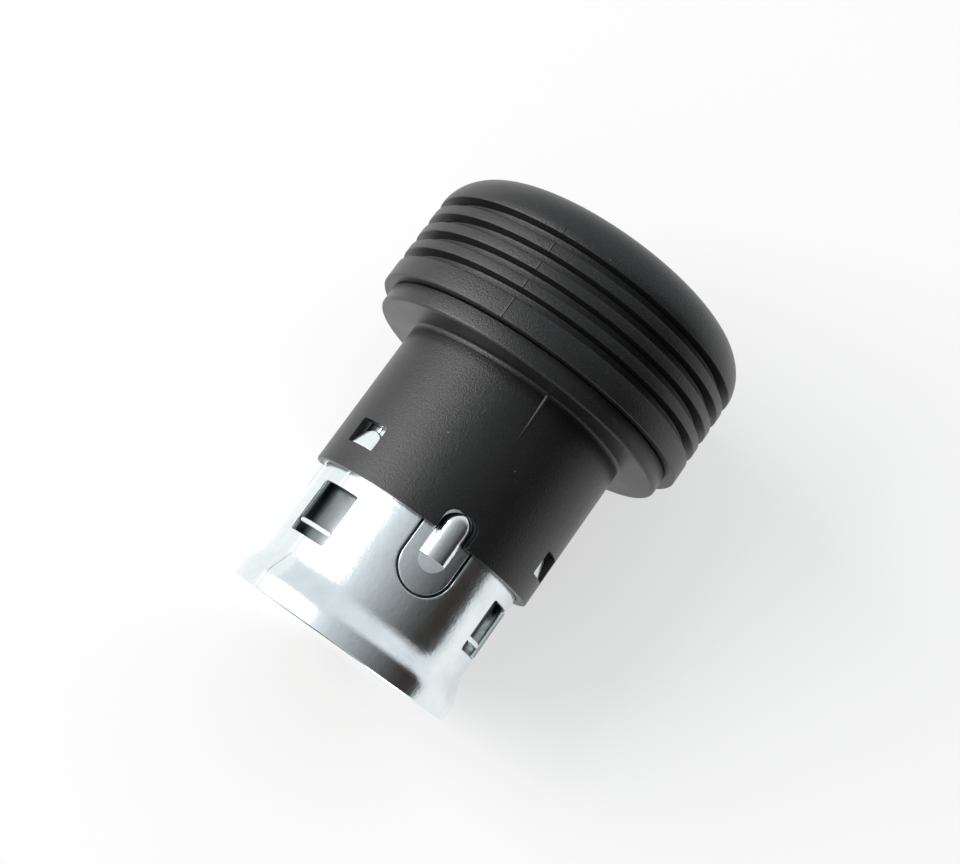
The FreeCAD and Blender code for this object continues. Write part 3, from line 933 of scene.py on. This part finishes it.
@dataclass
class Shank:
    """The black barrel with its flange, windows and notches."""

    radius: float = 11.5
    bore: float = 10.5
    bottom: float = 12.55
    edge: float = 0.10
    barrel_lap: float = 0.4
    flange_radius: float = 15.2
    flange_bottom: float = 27.4
    flange_top: float = 29.24
    flange_round: float = 0.35
    flange_edge: float = 0.12
    neck_round: float = 0.55
    neck_drop: float = 0.6
    neck_inset: float = 0.02
    collar: float = 13.94
    collar_wall: float = 1.6
    collar_top: float = 33.0
    collar_round: float = 0.2
    web_bottom: float = 25.6
    stem_hole: float = 1.56
    window_low: float = 14.9
    window_high: float = 17.3
    window_width: float = 3.6
    window_round: float = 0.2
    notch_width: float = 3.3
    notch_top: float = 14.95
    notch_round: float = 0.15
    arch_share: float = 0.98
    blank_spare: float = 2.0
    columns: int = 240
    row: float = 0.7
    rows: int = 20
    flash_drop: float = 0.3
    flash_length: float = 5.0
    flash_width: float = 0.26
    flash_tip: float = 0.03
    flash_rise: float = 0.13
    flash_tip_rise: float = 0.015
    flash_root: float = 0.05
    flash_crest: float = 0.35
    flash_steps: int = 12

    def flange(self) -> Mesh:
        """Turns the flange, web and collar.

        Returns:
            The mesh.
        """
        neck = self.radius - self.neck_inset
        neck_low = self.flange_bottom - self.neck_drop
        inner = self.collar - self.collar_wall
        corners = [(self.bore, self.web_bottom, 0.0), (self.bore, neck_low, 0.0), (neck, neck_low, 0.0),
                   (neck, self.flange_bottom, self.neck_round),
                   (self.flange_radius, self.flange_bottom, self.flange_round),
                   (self.flange_radius, self.flange_top, self.flange_edge),
                   (self.collar, self.flange_top, 0.0),
                   (self.collar, self.collar_top, self.collar_round),
                   (inner, self.collar_top, self.collar_round),
                   (inner, self.flange_top, 0.0), (self.stem_hole, self.flange_top, 0.0),
                   (self.stem_hole, self.web_bottom, 0.0)]
        return lathe(rounded_profile(corners), even_azimuths(self.columns))

    def barrel(self) -> Mesh:
        """Cuts the barrel's wall flat, with its windows and notches, and closes it round the axis.

        Returns:
            The mesh.
        """
        girth = FULL_TURN * self.radius
        left = -girth / 2.0
        end = girth / 2.0 + self.blank_spare
        top = self.flange_bottom - self.barrel_lap
        half = self.notch_width / 2.0
        arch = half * self.arch_share
        corners: list[Corner] = [(-end, top, 0.0), (-end, self.bottom, 0.0)]
        for turn in (-1, 0, 1):
            at = girth * turn / REPEATS + FINGER_TURN * self.radius
            corners += [(at - half, self.bottom, self.notch_round), (at - half, self.notch_top, arch),
                        (at + half, self.notch_top, arch), (at + half, self.bottom, self.notch_round)]
        corners += [(end, self.bottom, 0.0), (end, top, 0.0)]
        low, high = self.window_low, self.window_high
        holes = [rounded_window(at, self.window_width, low, high, self.window_round, steps=3)
                 for at in (-girth / 6.0, girth / 6.0, left, -left)]
        gauge = self.radius - self.bore
        bm = flat_sheet(rounded_profile(corners, steps=10), holes, gauge, self.edge)
        for side in (-1.0, 1.0):
            cut_blank(bm, girth / 2.0, (side, 0.0, 0.0), trim=True)
        slice_blank(bm, divisions(left, girth, self.columns), ACROSS)
        slice_blank(bm, [self.bottom + self.row * k for k in range(1, self.rows)], UPWARD)
        for vert in bm.verts:
            vert.co = polar(self.radius - gauge / 2.0 + vert.co.z, vert.co.x / self.radius, vert.co.y)
        bmesh.ops.remove_doubles(bm, verts=bm.verts, dist=ROLL_WELD)
        close_pinholes(bm)
        return bm

    def flash(self) -> Mesh:
        """Lays the thin mould flash that runs down the barrel from the flange.

        Returns:
            The mesh.
        """
        rows = []
        for step in range(self.flash_steps + 1):
            share = step / self.flash_steps
            height = self.flange_bottom - self.flash_drop - self.flash_length * share
            wide = self.flash_width * (1.0 - share) + self.flash_tip
            tall = self.flash_rise * (1.0 - share) + self.flash_tip_rise
            section = ((-1.0, -self.flash_root), (-self.flash_crest, tall), (self.flash_crest, tall),
                       (1.0, -self.flash_root))
            rows.append([polar(self.radius + out, across * wide / self.radius, height)
                         for across, out in section])
        return skin_rows(rows)

    def build(self, finishes: Finishes) -> list[Piece]:
        """Builds the shank, which stands in for its solid, and its flash.

        Args:
            finishes: The lighter's finishes.

        Returns:
            The pieces.
        """
        bm = self.barrel()
        merge_into(bm, self.flange())
        barrel = finish_mesh(bm, "shank_barrel", MOULD_SHARP_DEGREES)
        flash = finish_mesh(self.flash(), "shank_flash")
        for piece, solid in ((barrel, "shank"), (flash, None)):
            dress(piece, finishes.shank)
            settle(piece, Body.HOUSING, solid)
        return [barrel, flash]


@dataclass
class ContactSleeve:
    """The plated sleeve, rolled from a flat blank with a butt seam."""

    radius: float = 10.45
    gauge: float = 0.45
    edge: float = 0.07
    top: float = 22.0
    flare_start: float = 3.75
    flare_end: float = 1.65
    flare_radius: float = 11.38
    flare_bend: float = 2.2
    neck_bend: float = 3.5
    mouth_radius: float = 11.3
    end_round: float = 0.1
    seam: float = math.radians(-60.0)
    seam_gap: float = 0.05
    seam_round: float = 0.08
    port_low: float = 5.9
    port_high: float = 11.05
    port_width: float = 5.2
    port_round: float = 0.3
    slot_bottom: float = 6.95
    slot_width: float = 5.5
    slot_top: float = 17.4
    slit: float = 0.2
    sink: float = 0.25
    sink_run: float = 5.0
    finger_step: float = 0.5
    finger_offset: float = 0.05
    finger_lines: int = 5
    ridge_width: float = 2.75
    ridge_low: float = 10.27
    ridge_top: float = 14.88
    ridge_radius: float = 11.5
    ridge_root: float = 0.7
    ridge_fall: float = 0.18
    ridge_side_power: float = 0.8
    ridge_crown_power: float = 0.7
    ridge_fall_power: int = 4
    ridge_rows: int = 8
    ridge_cap_rows: int = 14
    ridge_columns: int = 24
    ramp_low: float = 9.16
    ramp_width: float = 2.3
    ramp_rise: float = 0.72
    ramp_lap: float = 0.08
    ramp_edge: float = 0.02
    ramp_tip: float = 0.01
    ramp_root: float = 0.2
    ramp_rows: int = 16
    ramp_half_columns: int = 6
    clinch_width: float = 3.1
    clinch_height: float = 1.85
    clinch_low: float = 14.9
    clinch_radius: float = 11.25
    clinch_side: float = 0.25
    clinch_edge: float = 0.06
    clinch_lean: float = 0.45
    clinch_columns: int = 12
    clinch_row: float = 0.2
    clinch_rows: int = 7
    columns: int = 216

    def wall(self) -> list[Point]:
        """Outlines the outer wall, with its bends rounded.

        Returns:
            Radius and height of each point, from the mouth up.
        """
        mouth = (self.mouth_radius, 0.0)
        flare = (self.flare_radius, self.flare_end)
        neck = (self.radius, self.flare_start)
        top = (self.radius, self.top)
        return [mouth, *round_corner(mouth, flare, neck, self.flare_bend, steps=8),
                *round_corner(flare, neck, top, self.neck_bend, steps=14), top]

    @staticmethod
    def outer_at(height: float, wall: Sequence[Point]) -> tuple[float, float]:
        """Finds the outer wall at a height.

        Args:
            height: The height.
            wall: The wall's outline.

        Returns:
            The outer radius and its slope.
        """
        for (r0, z0), (r1, z1) in zip(wall, wall[1:]):
            if height <= z1 + TINY:
                slope = (r1 - r0) / (z1 - z0)
                return r0 + (height - z0) * slope, slope
        return wall[-1][0], 0.0

    def finger_places(self) -> list[float]:
        """Where the fingers' middles lie across the blank."""
        return [(THIRD_TURN * k + FINGER_TURN) * self.radius for k in range(REPEATS)]

    def press(self, across: float, height: float) -> float:
        """Presses the sheet inwards at a finger.

        Args:
            across: How far a point lies from the finger's middle.
            height: The point's height.

        Returns:
            How far inwards the point goes.
        """
        half = (self.slot_width - self.slit) / 2.0
        if abs(across) > half or height > self.slot_top:
            return 0.0
        floor = self.slot_bottom + self.slit / 2.0 + half
        if height < floor and math.hypot(across, height - floor) > half:
            return 0.0
        share = min(1.0, max(0.0, (self.slot_top - height) / self.sink_run))
        return self.sink * share * share * (3.0 - 2.0 * share)

    def slot(self, at: float) -> list[Point]:
        """Outlines the thin U-slot round a finger.

        Args:
            at: Where the finger's middle lies across the blank.

        Returns:
            The points of the slot's edge.
        """
        wide = self.slot_width / 2.0
        thin = wide - self.slit
        centre = (at, self.slot_bottom + wide)
        return [(at - wide, self.slot_top), *arc_points(centre, wide, math.pi, FULL_TURN, steps=32),
                (at + wide, self.slot_top), (at + thin, self.slot_top),
                *arc_points(centre, thin, FULL_TURN, math.pi, steps=32), (at - thin, self.slot_top)]

    def blank(self) -> Mesh:
        """Cuts the flat blank, with half a port at each end.

        Returns:
            The blank.
        """
        left = self.seam * self.radius + self.seam_gap / 2.0
        right = left + FULL_TURN * self.radius - self.seam_gap
        half = self.port_width / 2.0
        low, high, top = self.port_low, self.port_high, self.top
        end, seam, port = self.end_round, self.seam_round, self.port_round
        corners = [(left, 0.0, end), (right, 0.0, end), (right, low, seam), (right - half, low, port),
                   (right - half, high, port), (right, high, seam), (right, top, end), (left, top, end),
                   (left, high, seam), (left + half, high, port), (left + half, low, port), (left, low, seam)]
        middles = [THIRD_TURN * (k + 0.5) * self.radius for k in range(REPEATS - 1)]
        holes = [rounded_window(at, self.port_width, low, high, port, steps=4) for at in middles]
        holes += [self.slot(at) for at in self.finger_places()]
        return flat_sheet(rounded_profile(corners, steps=3), holes, self.gauge, self.edge)

    def sheet(self) -> Mesh:
        """Rolls the blank round the axis, flares it at the mouth and presses it at the fingers.

        Returns:
            The mesh.
        """
        bm = self.blank()
        slice_blank(bm, divisions(self.seam * self.radius, FULL_TURN * self.radius, self.columns), ACROSS)
        lip_rows = [0.15, 0.4]
        flare_rows = [0.6 + 0.16 * k for k in range(26)]
        wall_rows = [5.4 + 0.8 * k for k in range(16)]
        slice_blank(bm, lip_rows + flare_rows + wall_rows, UPWARD)
        count = self.finger_lines
        for at in self.finger_places():
            places = [at + self.finger_step * k + self.finger_offset for k in range(-count, count + 1)]
            slice_blank(bm, places, ACROSS)
        wall = self.wall()
        for vert in bm.verts:
            across, height, through = vert.co
            radius, slope = self.outer_at(height, wall)
            stretch = math.hypot(1.0, slope)
            turn = across / self.radius
            finger = (turn - FINGER_TURN + THIRD_TURN / 2.0) % THIRD_TURN - THIRD_TURN / 2.0
            depth = self.gauge / 2.0 - through + self.press(finger * self.radius, height)
            vert.co = polar(radius - depth / stretch, turn, height + depth * slope / stretch)
        close_pinholes(bm)
        return bm

    def ridge(self) -> Mesh:
        """Raises one finger ridge at azimuth 0: half round, sheared below and rounded above.

        Returns:
            The mesh.
        """
        half = self.ridge_width / 2.0
        spring = self.ridge_top - half
        foot = self.radius - self.sink - self.gauge * self.ridge_root
        rise = spring - self.ridge_low
        heights = [self.ridge_low + rise * k / self.ridge_rows for k in range(self.ridge_rows + 1)]
        quarter = math.pi / 2.0
        heights += [spring + half * math.sin(quarter * k / self.ridge_cap_rows)
                    for k in range(1, self.ridge_cap_rows)]
        rows = []
        for height in heights:
            lift = max(0.0, height - spring)
            wide = math.sqrt(max(TINY, half * half - lift * lift))
            fall = self.ridge_fall * (lift / half) ** self.ridge_fall_power
            crown = (self.ridge_radius - foot) * (1.0 - fall)
            row = []
            for k in range(self.ridge_columns + 1):
                angle = math.pi * k / self.ridge_columns
                cosine, sine = math.cos(angle), math.sin(angle)
                x = -wide * math.copysign(abs(cosine) ** self.ridge_side_power, cosine)
                row.append((x, -foot - crown * abs(sine) ** self.ridge_crown_power, height))
            rows.append(row)
        return skin_rows(rows)

    def ramp(self) -> Mesh:
        """Coins one ramp at azimuth 0, round below, that rises from the tongue to the ridge's sheared end.

        Returns:
            The mesh.
        """
        half = self.ramp_width / 2.0
        start = self.ridge_low + self.ramp_lap
        face = self.radius - self.sink
        shares = [k / self.ramp_half_columns - 1.0 for k in range(2 * self.ramp_half_columns + 1)]
        rows = []
        for step in range(self.ramp_rows + 1):
            drop = math.sin(math.pi / 2.0 * step / self.ramp_rows)
            height = start - (start - self.ramp_low) * drop
            wide = half * math.sqrt(max(TINY, 1.0 - drop * drop)) + self.ramp_tip
            rise = self.ramp_rise * (1.0 - drop) + self.ramp_edge
            row = [polar(face + rise, wide * share / self.radius, height) for share in shares]
            row += [polar(face - self.ramp_root, -wide * share / self.radius, height) for share in shares]
            rows.append(row)
        return skin_rows(rows)

    def clinch(self) -> Mesh:
        """Bends one clinched tab at azimuth 0 out through the shank's window.

        Returns:
            The mesh.
        """
        half = self.clinch_width / 2.0
        side = self.clinch_low + self.clinch_side
        crown = self.clinch_height - self.clinch_side
        outline = [(-half, self.clinch_low), (half, self.clinch_low)]
        arch = arc_points((0.0, 0.0), 1.0, 0.0, math.pi, steps=20)
        outline += [(half * x, side + crown * y) for x, y in arch]
        bm = flat_sheet(outline, [], self.gauge, self.clinch_edge)
        slice_blank(bm, divisions(-half, self.clinch_width, self.clinch_columns), ACROSS)
        slice_blank(bm, [self.clinch_low + self.clinch_row * k for k in range(1, self.clinch_rows)], UPWARD)
        for vert in bm.verts:
            across, height, through = vert.co
            lean = self.clinch_lean * max(0.0, (height - self.clinch_low) / self.clinch_height)
            out = self.clinch_radius - self.gauge / 2.0 + through - lean
            vert.co = polar(out, across / self.radius, height)
        bmesh.ops.recalc_face_normals(bm, faces=bm.faces)
        return bm

    def build(self, finishes: Finishes, tree: Tree) -> list[Piece]:
        """Builds the sleeve, its ridges, ramps and clinched tabs.

        Args:
            finishes: The lighter's finishes.
            tree: The tree that repeats a piece round the axis.

        Returns:
            The pieces.
        """
        sleeve = finish_mesh(self.sheet(), "sleeve_sheet", SHEET_SHARP_DEGREES)
        dress(sleeve, finishes.plated)
        ridges = finish_mesh(self.ridge(), "finger_ridges", RIDGE_SHARP_DEGREES)
        ramps = finish_mesh(self.ramp(), "finger_ramps")
        tabs = finish_mesh(self.clinch(), "clinch_tabs")
        for piece, first in ((ridges, FINGER_TURN), (ramps, FINGER_TURN), (tabs, math.pi)):
            repeat_round(piece, tree, first, finishes.plated)
        settle(sleeve, Body.HOUSING, "contact_sleeve")
        for piece in (ridges, ramps, tabs):
            settle(piece, Body.HOUSING)
        return [sleeve, ridges, ramps, tabs]


@dataclass
class GuardSleeve:
    """The inner sleeve with its stop tabs, which slides."""

    radius: float = 9.3
    gauge: float = 0.4
    bottom: float = 0.8
    rim_round: float = 0.15
    shoulder_round: float = 0.4
    lip: float = 7.0
    lip_bottom: float = 12.35
    lip_round: float = 0.12
    inner_round: float = 0.1
    stop_low: float = 6.85
    stop_high: float = 7.3
    stop_width: float = 4.25
    stop_radius: float = 10.25
    stop_round: float = 0.12
    stop_root: float = 0.6
    stop_steps: int = 12
    columns: int = 216

    def tube(self) -> Mesh:
        """Turns the tube with its inward lip.

        Returns:
            The mesh.
        """
        top = self.lip_bottom + self.gauge
        inner = self.radius - self.gauge
        corners = [(inner, self.bottom, self.rim_round), (self.radius, self.bottom, self.rim_round),
                   (self.radius, top, self.shoulder_round), (self.lip, top, self.lip_round),
                   (self.lip, self.lip_bottom, self.lip_round), (inner, self.lip_bottom, self.inner_round)]
        return lathe(rounded_profile(corners, steps=5), even_azimuths(self.columns))

    def stop(self) -> Mesh:
        """Turns one stop tab at azimuth 0 out of the sleeve.

        Returns:
            The mesh.
        """
        inner = self.radius - self.gauge * self.stop_root
        corners = [(inner, self.stop_low, 0.0), (self.stop_radius, self.stop_low, self.stop_round),
                   (self.stop_radius, self.stop_high, self.stop_round), (inner, self.stop_high, 0.0)]
        section = rounded_profile(corners, steps=3)
        rows = []
        for step in range(self.stop_steps + 1):
            azimuth = self.stop_width * (step / self.stop_steps - 0.5) / self.radius
            rows.append([polar(out, azimuth, height) for out, height in section])
        return skin_rows(rows)

    def build(self, finishes: Finishes, tree: Tree) -> list[Piece]:
        """Builds the guard and its tabs.

        Args:
            finishes: The lighter's finishes.
            tree: The tree that repeats a piece round the axis.

        Returns:
            The pieces.
        """
        sleeve = finish_mesh(self.tube(), "guard_tube")
        dress(sleeve, finishes.guard)
        stops = repeat_round(finish_mesh(self.stop(), "guard_stops"), tree, math.pi, finishes.plated)
        settle(sleeve, Body.GUARD, "guard_sleeve")
        settle(stops, Body.GUARD)
        return [sleeve, stops]


@dataclass
class Heater:
    """The cup, the wound ribbon, the return spring and the small parts on the stem."""

    cup_radius: float = 7.3
    cup_gauge: float = 0.4
    cup_bottom: float = 6.5
    cup_top: float = 11.5
    cup_columns: int = 144
    bead: float = 0.35
    bead_round: float = 0.3
    rim_round: float = 0.1
    shoulder_round: float = 0.75
    inner_round: float = 0.4
    bush: float = 1.9
    ribbon: float = 0.22
    coil_low: float = 7.3
    coil_high: float = 10.2
    coil_inner: float = 1.2
    coil_outer: float = 6.4
    coil_turns: int = 8
    coil_steps: int = 64
    sway: float = 0.03
    sway_rate: float = 0.37
    ripple: float = 0.02
    ripple_rate: float = 1.9
    edge_lift: float = 0.06
    edge_wave: float = 0.05
    edge_rate: float = 0.21
    spring_radius: float = 8.1
    wire: float = 0.45
    wire_sides: int = 12
    spring_low: float = 12.75
    spring_high: float = 25.0
    spring_turns: float = 5.5
    spring_steps: int = 56
    closed_share: float = 0.12
    closed_pitch: float = 0.14
    travel: float = 3.6

    def cup(self) -> Mesh:
        """Draws the cup with its beaded rim.

        Returns:
            The mesh.
        """
        inner = self.cup_radius - self.cup_gauge
        out = self.cup_radius + self.bead
        bead_top = self.cup_bottom + self.bead * 2
        web = self.cup_top - self.cup_gauge
        corners = [(inner, self.cup_bottom, self.rim_round), (out, self.cup_bottom, self.bead_round),
                   (out, bead_top, self.bead_round), (self.cup_radius, bead_top, self.rim_round),
                   (self.cup_radius, self.cup_top, self.shoulder_round), (self.bush, self.cup_top, 0.0),
                   (self.bush, web, 0.0), (inner, web, self.inner_round)]
        return lathe(rounded_profile(corners), even_azimuths(self.cup_columns))

    def coil(self) -> Mesh:
        """Winds the ribbon flat, with a faint unevenness from turn to turn.

        Returns:
            The mesh.
        """
        count = self.coil_turns * self.coil_steps
        rows = []
        for step in range(count + 1):
            share = step / count
            angle = FULL_TURN * self.coil_turns * share
            radius = self.coil_inner + (self.coil_outer - self.ribbon - self.coil_inner) * share
            sway = self.sway * math.sin(angle * self.sway_rate)
            wave = sway + self.ripple * math.sin(angle * self.ripple_rate)
            low = self.coil_low + self.edge_lift + self.edge_wave * math.sin(angle * self.edge_rate)
            row = []
            section = ((0.0, low), (self.ribbon, low), (self.ribbon, self.coil_high), (0.0, self.coil_high))
            for out, height in section:
                reach = max(self.coil_inner, radius + out + wave * (1.0 - share))
                row.append((reach * math.cos(angle), reach * math.sin(angle), height))
            rows.append(row)
        return skin_rows(rows)

    def spring(self) -> Mesh:
        """Winds the return spring, with closed end turns.

        Returns:
            The mesh.
        """
        count = int(self.spring_turns * self.spring_steps)
        low, high = self.spring_low + self.wire, self.spring_high - self.wire
        section = arc_points((self.spring_radius, 0.0), self.wire, 0.0, FULL_TURN, self.wire_sides)[:-1]
        rows = []
        for step in range(count + 1):
            share = step / count
            angle = FULL_TURN * self.spring_turns * share
            eased = min(1.0, max(0.0, (share - self.closed_share) / (1.0 - 2.0 * self.closed_share)))
            height = low + (high - low) * (eased * (1.0 - self.closed_pitch) + share * self.closed_pitch)
            rows.append([(out * math.cos(angle), out * math.sin(angle), height + up) for out, up in section])
        return skin_rows(rows)

    def build(self, finishes: Finishes, nodes: dict[str, Piece]) -> list[Piece]:
        """Builds the cup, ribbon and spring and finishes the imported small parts.

        Args:
            finishes: The lighter's finishes.
            nodes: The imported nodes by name.

        Returns:
            The new pieces.
        """
        cup = finish_mesh(self.cup(), "heater_cup")
        coil = finish_mesh(self.coil(), "heater_ribbon")
        spring = finish_mesh(self.spring(), "guard_spring")
        for piece, material, slot, solid in ((cup, finishes.cup, Slot.CUP, "coil_cup"),
                                             (coil, finishes.element, Slot.COIL, "heating_coil"),
                                             (spring, finishes.spring, Slot.SPRING, "return_spring")):
            dress(piece, material)
            settle(piece, Body.HOUSING, solid)
        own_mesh(spring)
        for node, material in (("stem", finishes.small), ("stem_nut", finishes.small),
                               ("clamp_plate", finishes.small), ("spring_seat", finishes.small),
                               ("lock_washer", finishes.spring), ("ceramic_disc", finishes.ceramic),
                               ("insulating_bush", finishes.ceramic), ("mica_washer", finishes.mica)):
            dress_node(nodes[node], material)
        return [cup, coil, spring]


# Staging


@dataclass
class Studio:
    """The camera, the pale floor, the window and the room."""

    distance: float = 135.4
    side: float = 0.25
    height: float = -0.79
    pitch: float = math.radians(10.06)
    yaw: float = math.radians(-0.51)
    roll: float = math.radians(35.82)
    azimuth: float = math.radians(-10.5)
    focal_px: float = 1500.0
    frame_width_px: float = 960.0
    sensor: float = 36.0
    near_clip: float = 5.0
    floor_foot: float = 11.36
    floor_head: float = 16.25
    floor_head_height: float = 29.3
    floor_reach: float = 1500.0
    paper: Colour = (0.93, 0.93, 0.91)
    paper_white: float = 0.56
    window_middle: float = 22.0
    window_away: float = 1300.0
    window_size: float = 1200.0
    window_watts: float = 26.0
    window_colour: Colour = (1.0, 0.99, 0.97)
    window_left: float = 0.95
    window_up: float = 0.45
    window_near: float = 0.55
    room_pale: Colour = (0.80, 0.83, 0.86)
    room_dark: Colour = (0.03, 0.024, 0.021)
    room_strength: float = 1.0
    dark_turn: float = math.radians(70.0)
    dark_lift: float = 0.12
    dark_span: Point = (-0.19, 1.0)
    overhead_span: Point = (0.35, 0.70)
    horizon_span: Point = (0.03, 0.11)

    def view_axes(self) -> tuple[Vector, Vector, Vector, Vector]:
        """Works out where the photograph was taken from.

        Returns:
            The camera's place, in metres, and its right, up and forward directions.
        """
        level = math.cos(self.pitch)
        forward = Vector((math.sin(self.yaw) * level, math.cos(self.yaw) * level, math.sin(self.pitch)))
        right = forward.cross(Vector((0.0, 0.0, 1.0))).normalized()
        up = right.cross(forward)
        rolled = right * math.cos(self.roll) + up * math.sin(self.roll)
        top = up * math.cos(self.roll) - right * math.sin(self.roll)
        place = Vector((self.side, -self.distance, self.height)) * MM
        turn = Matrix.Rotation(self.azimuth, 3, "Z")
        return turn @ place, turn @ rolled, turn @ top, turn @ forward

    def build_camera(self) -> None:
        """Stands the camera where the photograph was taken from."""
        place, right, up, forward = self.view_axes()
        data = bpy.data.cameras.new("photo_camera")
        data.sensor_width = self.sensor
        data.lens = self.focal_px / self.frame_width_px * self.sensor
        data.clip_start = self.near_clip * MM
        camera = bpy.data.objects.new("photo_camera", data)
        bpy.context.scene.collection.objects.link(camera)
        matrix = Matrix((right, up, -forward)).transposed().to_4x4()
        matrix.translation = place
        camera.matrix_world = matrix
        bpy.context.scene.camera = camera

    def paper_material(self) -> Material:
        """Makes the pale paper: lit paper with some plain white, and nothing from behind.

        Returns:
            The material.
        """
        material = bpy.data.materials.new("table_paper")
        material.use_nodes = True
        material.node_tree.nodes.clear()
        bench = NodeBench(material.node_tree)
        paper = bench.node("ShaderNodeBsdfDiffuse", {"Color": (*self.paper, 1.0)})
        white = bench.node("ShaderNodeEmission", {"Strength": 1.0})
        rays = bench.node("ShaderNodeLightPath").outputs
        seen = bench.maths("MAXIMUM", rays["Is Camera Ray"], rays["Is Glossy Ray"])
        seen = bench.maths("MAXIMUM", seen, rays["Is Transmission Ray"])
        share = bench.maths("MULTIPLY", seen, self.paper_white)
        front = bench.node("ShaderNodeMixShader", {0: share, 1: paper.outputs[0], 2: white.outputs[0]})
        clear = bench.node("ShaderNodeBsdfTransparent")
        behind = bench.node("ShaderNodeNewGeometry").outputs["Backfacing"]
        both = bench.node("ShaderNodeMixShader", {0: behind, 1: front.outputs[0], 2: clear.outputs[0]})
        bench.node("ShaderNodeOutputMaterial", {"Surface": both.outputs[0]})
        return material

    def build_floor(self) -> None:
        """Lays the pale floor on which the lighter lies: it touches the far side of knob and mouth."""
        foot = Vector((0.0, self.floor_foot, 0.0))
        head = Vector((0.0, self.floor_head, self.floor_head_height))
        along = (head - foot).normalized() * self.floor_reach
        wide = Vector((self.floor_reach, 0.0, 0.0))
        turn = Matrix.Rotation(self.azimuth, 3, "Z")
        corners = [foot - along - wide, foot - along + wide, foot + along + wide, foot + along - wide]
        mesh = bpy.data.meshes.new("table")
        mesh.from_pydata([tuple(turn @ corner * MM) for corner in corners], [], [(0, 1, 2, 3)])
        mesh.materials.append(self.paper_material())
        floor = bpy.data.objects.new("table", mesh)
        bpy.context.scene.collection.objects.link(floor)
        floor.visible_shadow = False

    def build_window(self) -> None:
        """Hangs one soft square lamp to the left of the camera, facing the lighter."""
        _, right, up, forward = self.view_axes()
        toward = up * self.window_up - right * self.window_left - forward * self.window_near
        data = bpy.data.lights.new("window", "AREA")
        data.size = self.window_size * MM
        data.energy = self.window_watts
        data.color = self.window_colour
        lamp = bpy.data.objects.new("window", data)
        bpy.context.scene.collection.objects.link(lamp)
        middle = Vector((0.0, 0.0, self.window_middle))
        lamp.location = (middle + toward.normalized() * self.window_away) * MM
        lamp.rotation_euler = (-toward).to_track_quat("-Z", "Y").to_euler()

    def build_room(self) -> None:
        """Puts the lighter in a pale room that darkens to the right of the camera, below the ceiling."""
        _, _, _, forward = self.view_axes()
        right = forward.cross(Vector((0.0, 0.0, 1.0))).normalized()
        dark = right * math.sin(self.dark_turn) - forward * math.cos(self.dark_turn)
        dark.z += self.dark_lift
        world = bpy.data.worlds.new("room")
        bpy.context.scene.world = world
        world.use_nodes = True
        bench = NodeBench(world.node_tree)
        where = bench.node("ShaderNodeTexCoord").outputs["Generated"]
        corner = bench.span(bench.along(where, dark.normalized()), *self.dark_span)
        low = bench.span(bench.along(where, Vector((0.0, 0.0, 1.0))), *self.overhead_span, 1.0, 0.0)
        clear = bench.span(bench.along(where, -forward), *self.horizon_span)
        shade = bench.maths("MULTIPLY", bench.maths("MULTIPLY", corner, low), clear)
        bench.feed(world.node_tree.nodes["Background"], {
            "Color": bench.blend(shade, self.room_pale, self.room_dark),
            "Strength": self.room_strength,
        })

    def build(self) -> None:
        """Builds the camera, the floor and the light."""
        self.build_camera()
        self.build_floor()
        self.build_window()
        self.build_room()


def main() -> None:
    """Builds the lighter's pieces in order, logs their face counts, then builds the studio."""
    logging.basicConfig(level=logging.INFO, format="%(name)s: %(message)s")
    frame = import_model()
    bpy.context.scene.view_settings.view_transform = "Standard"
    finishes = Finishes()
    tree = ring_tree("repeat_round_axis")
    pieces = [Knob().build(finishes)]
    pieces += Shank().build(finishes)
    pieces += ContactSleeve().build(finishes, tree)
    pieces += GuardSleeve().build(finishes, tree)
    pieces += Heater().build(finishes, frame["nodes"])
    for piece in pieces:
        LOG.info("%s: %d faces", piece.name, len(piece.data.polygons))
    Studio().build()


if __name__ == "__main__":
    main()
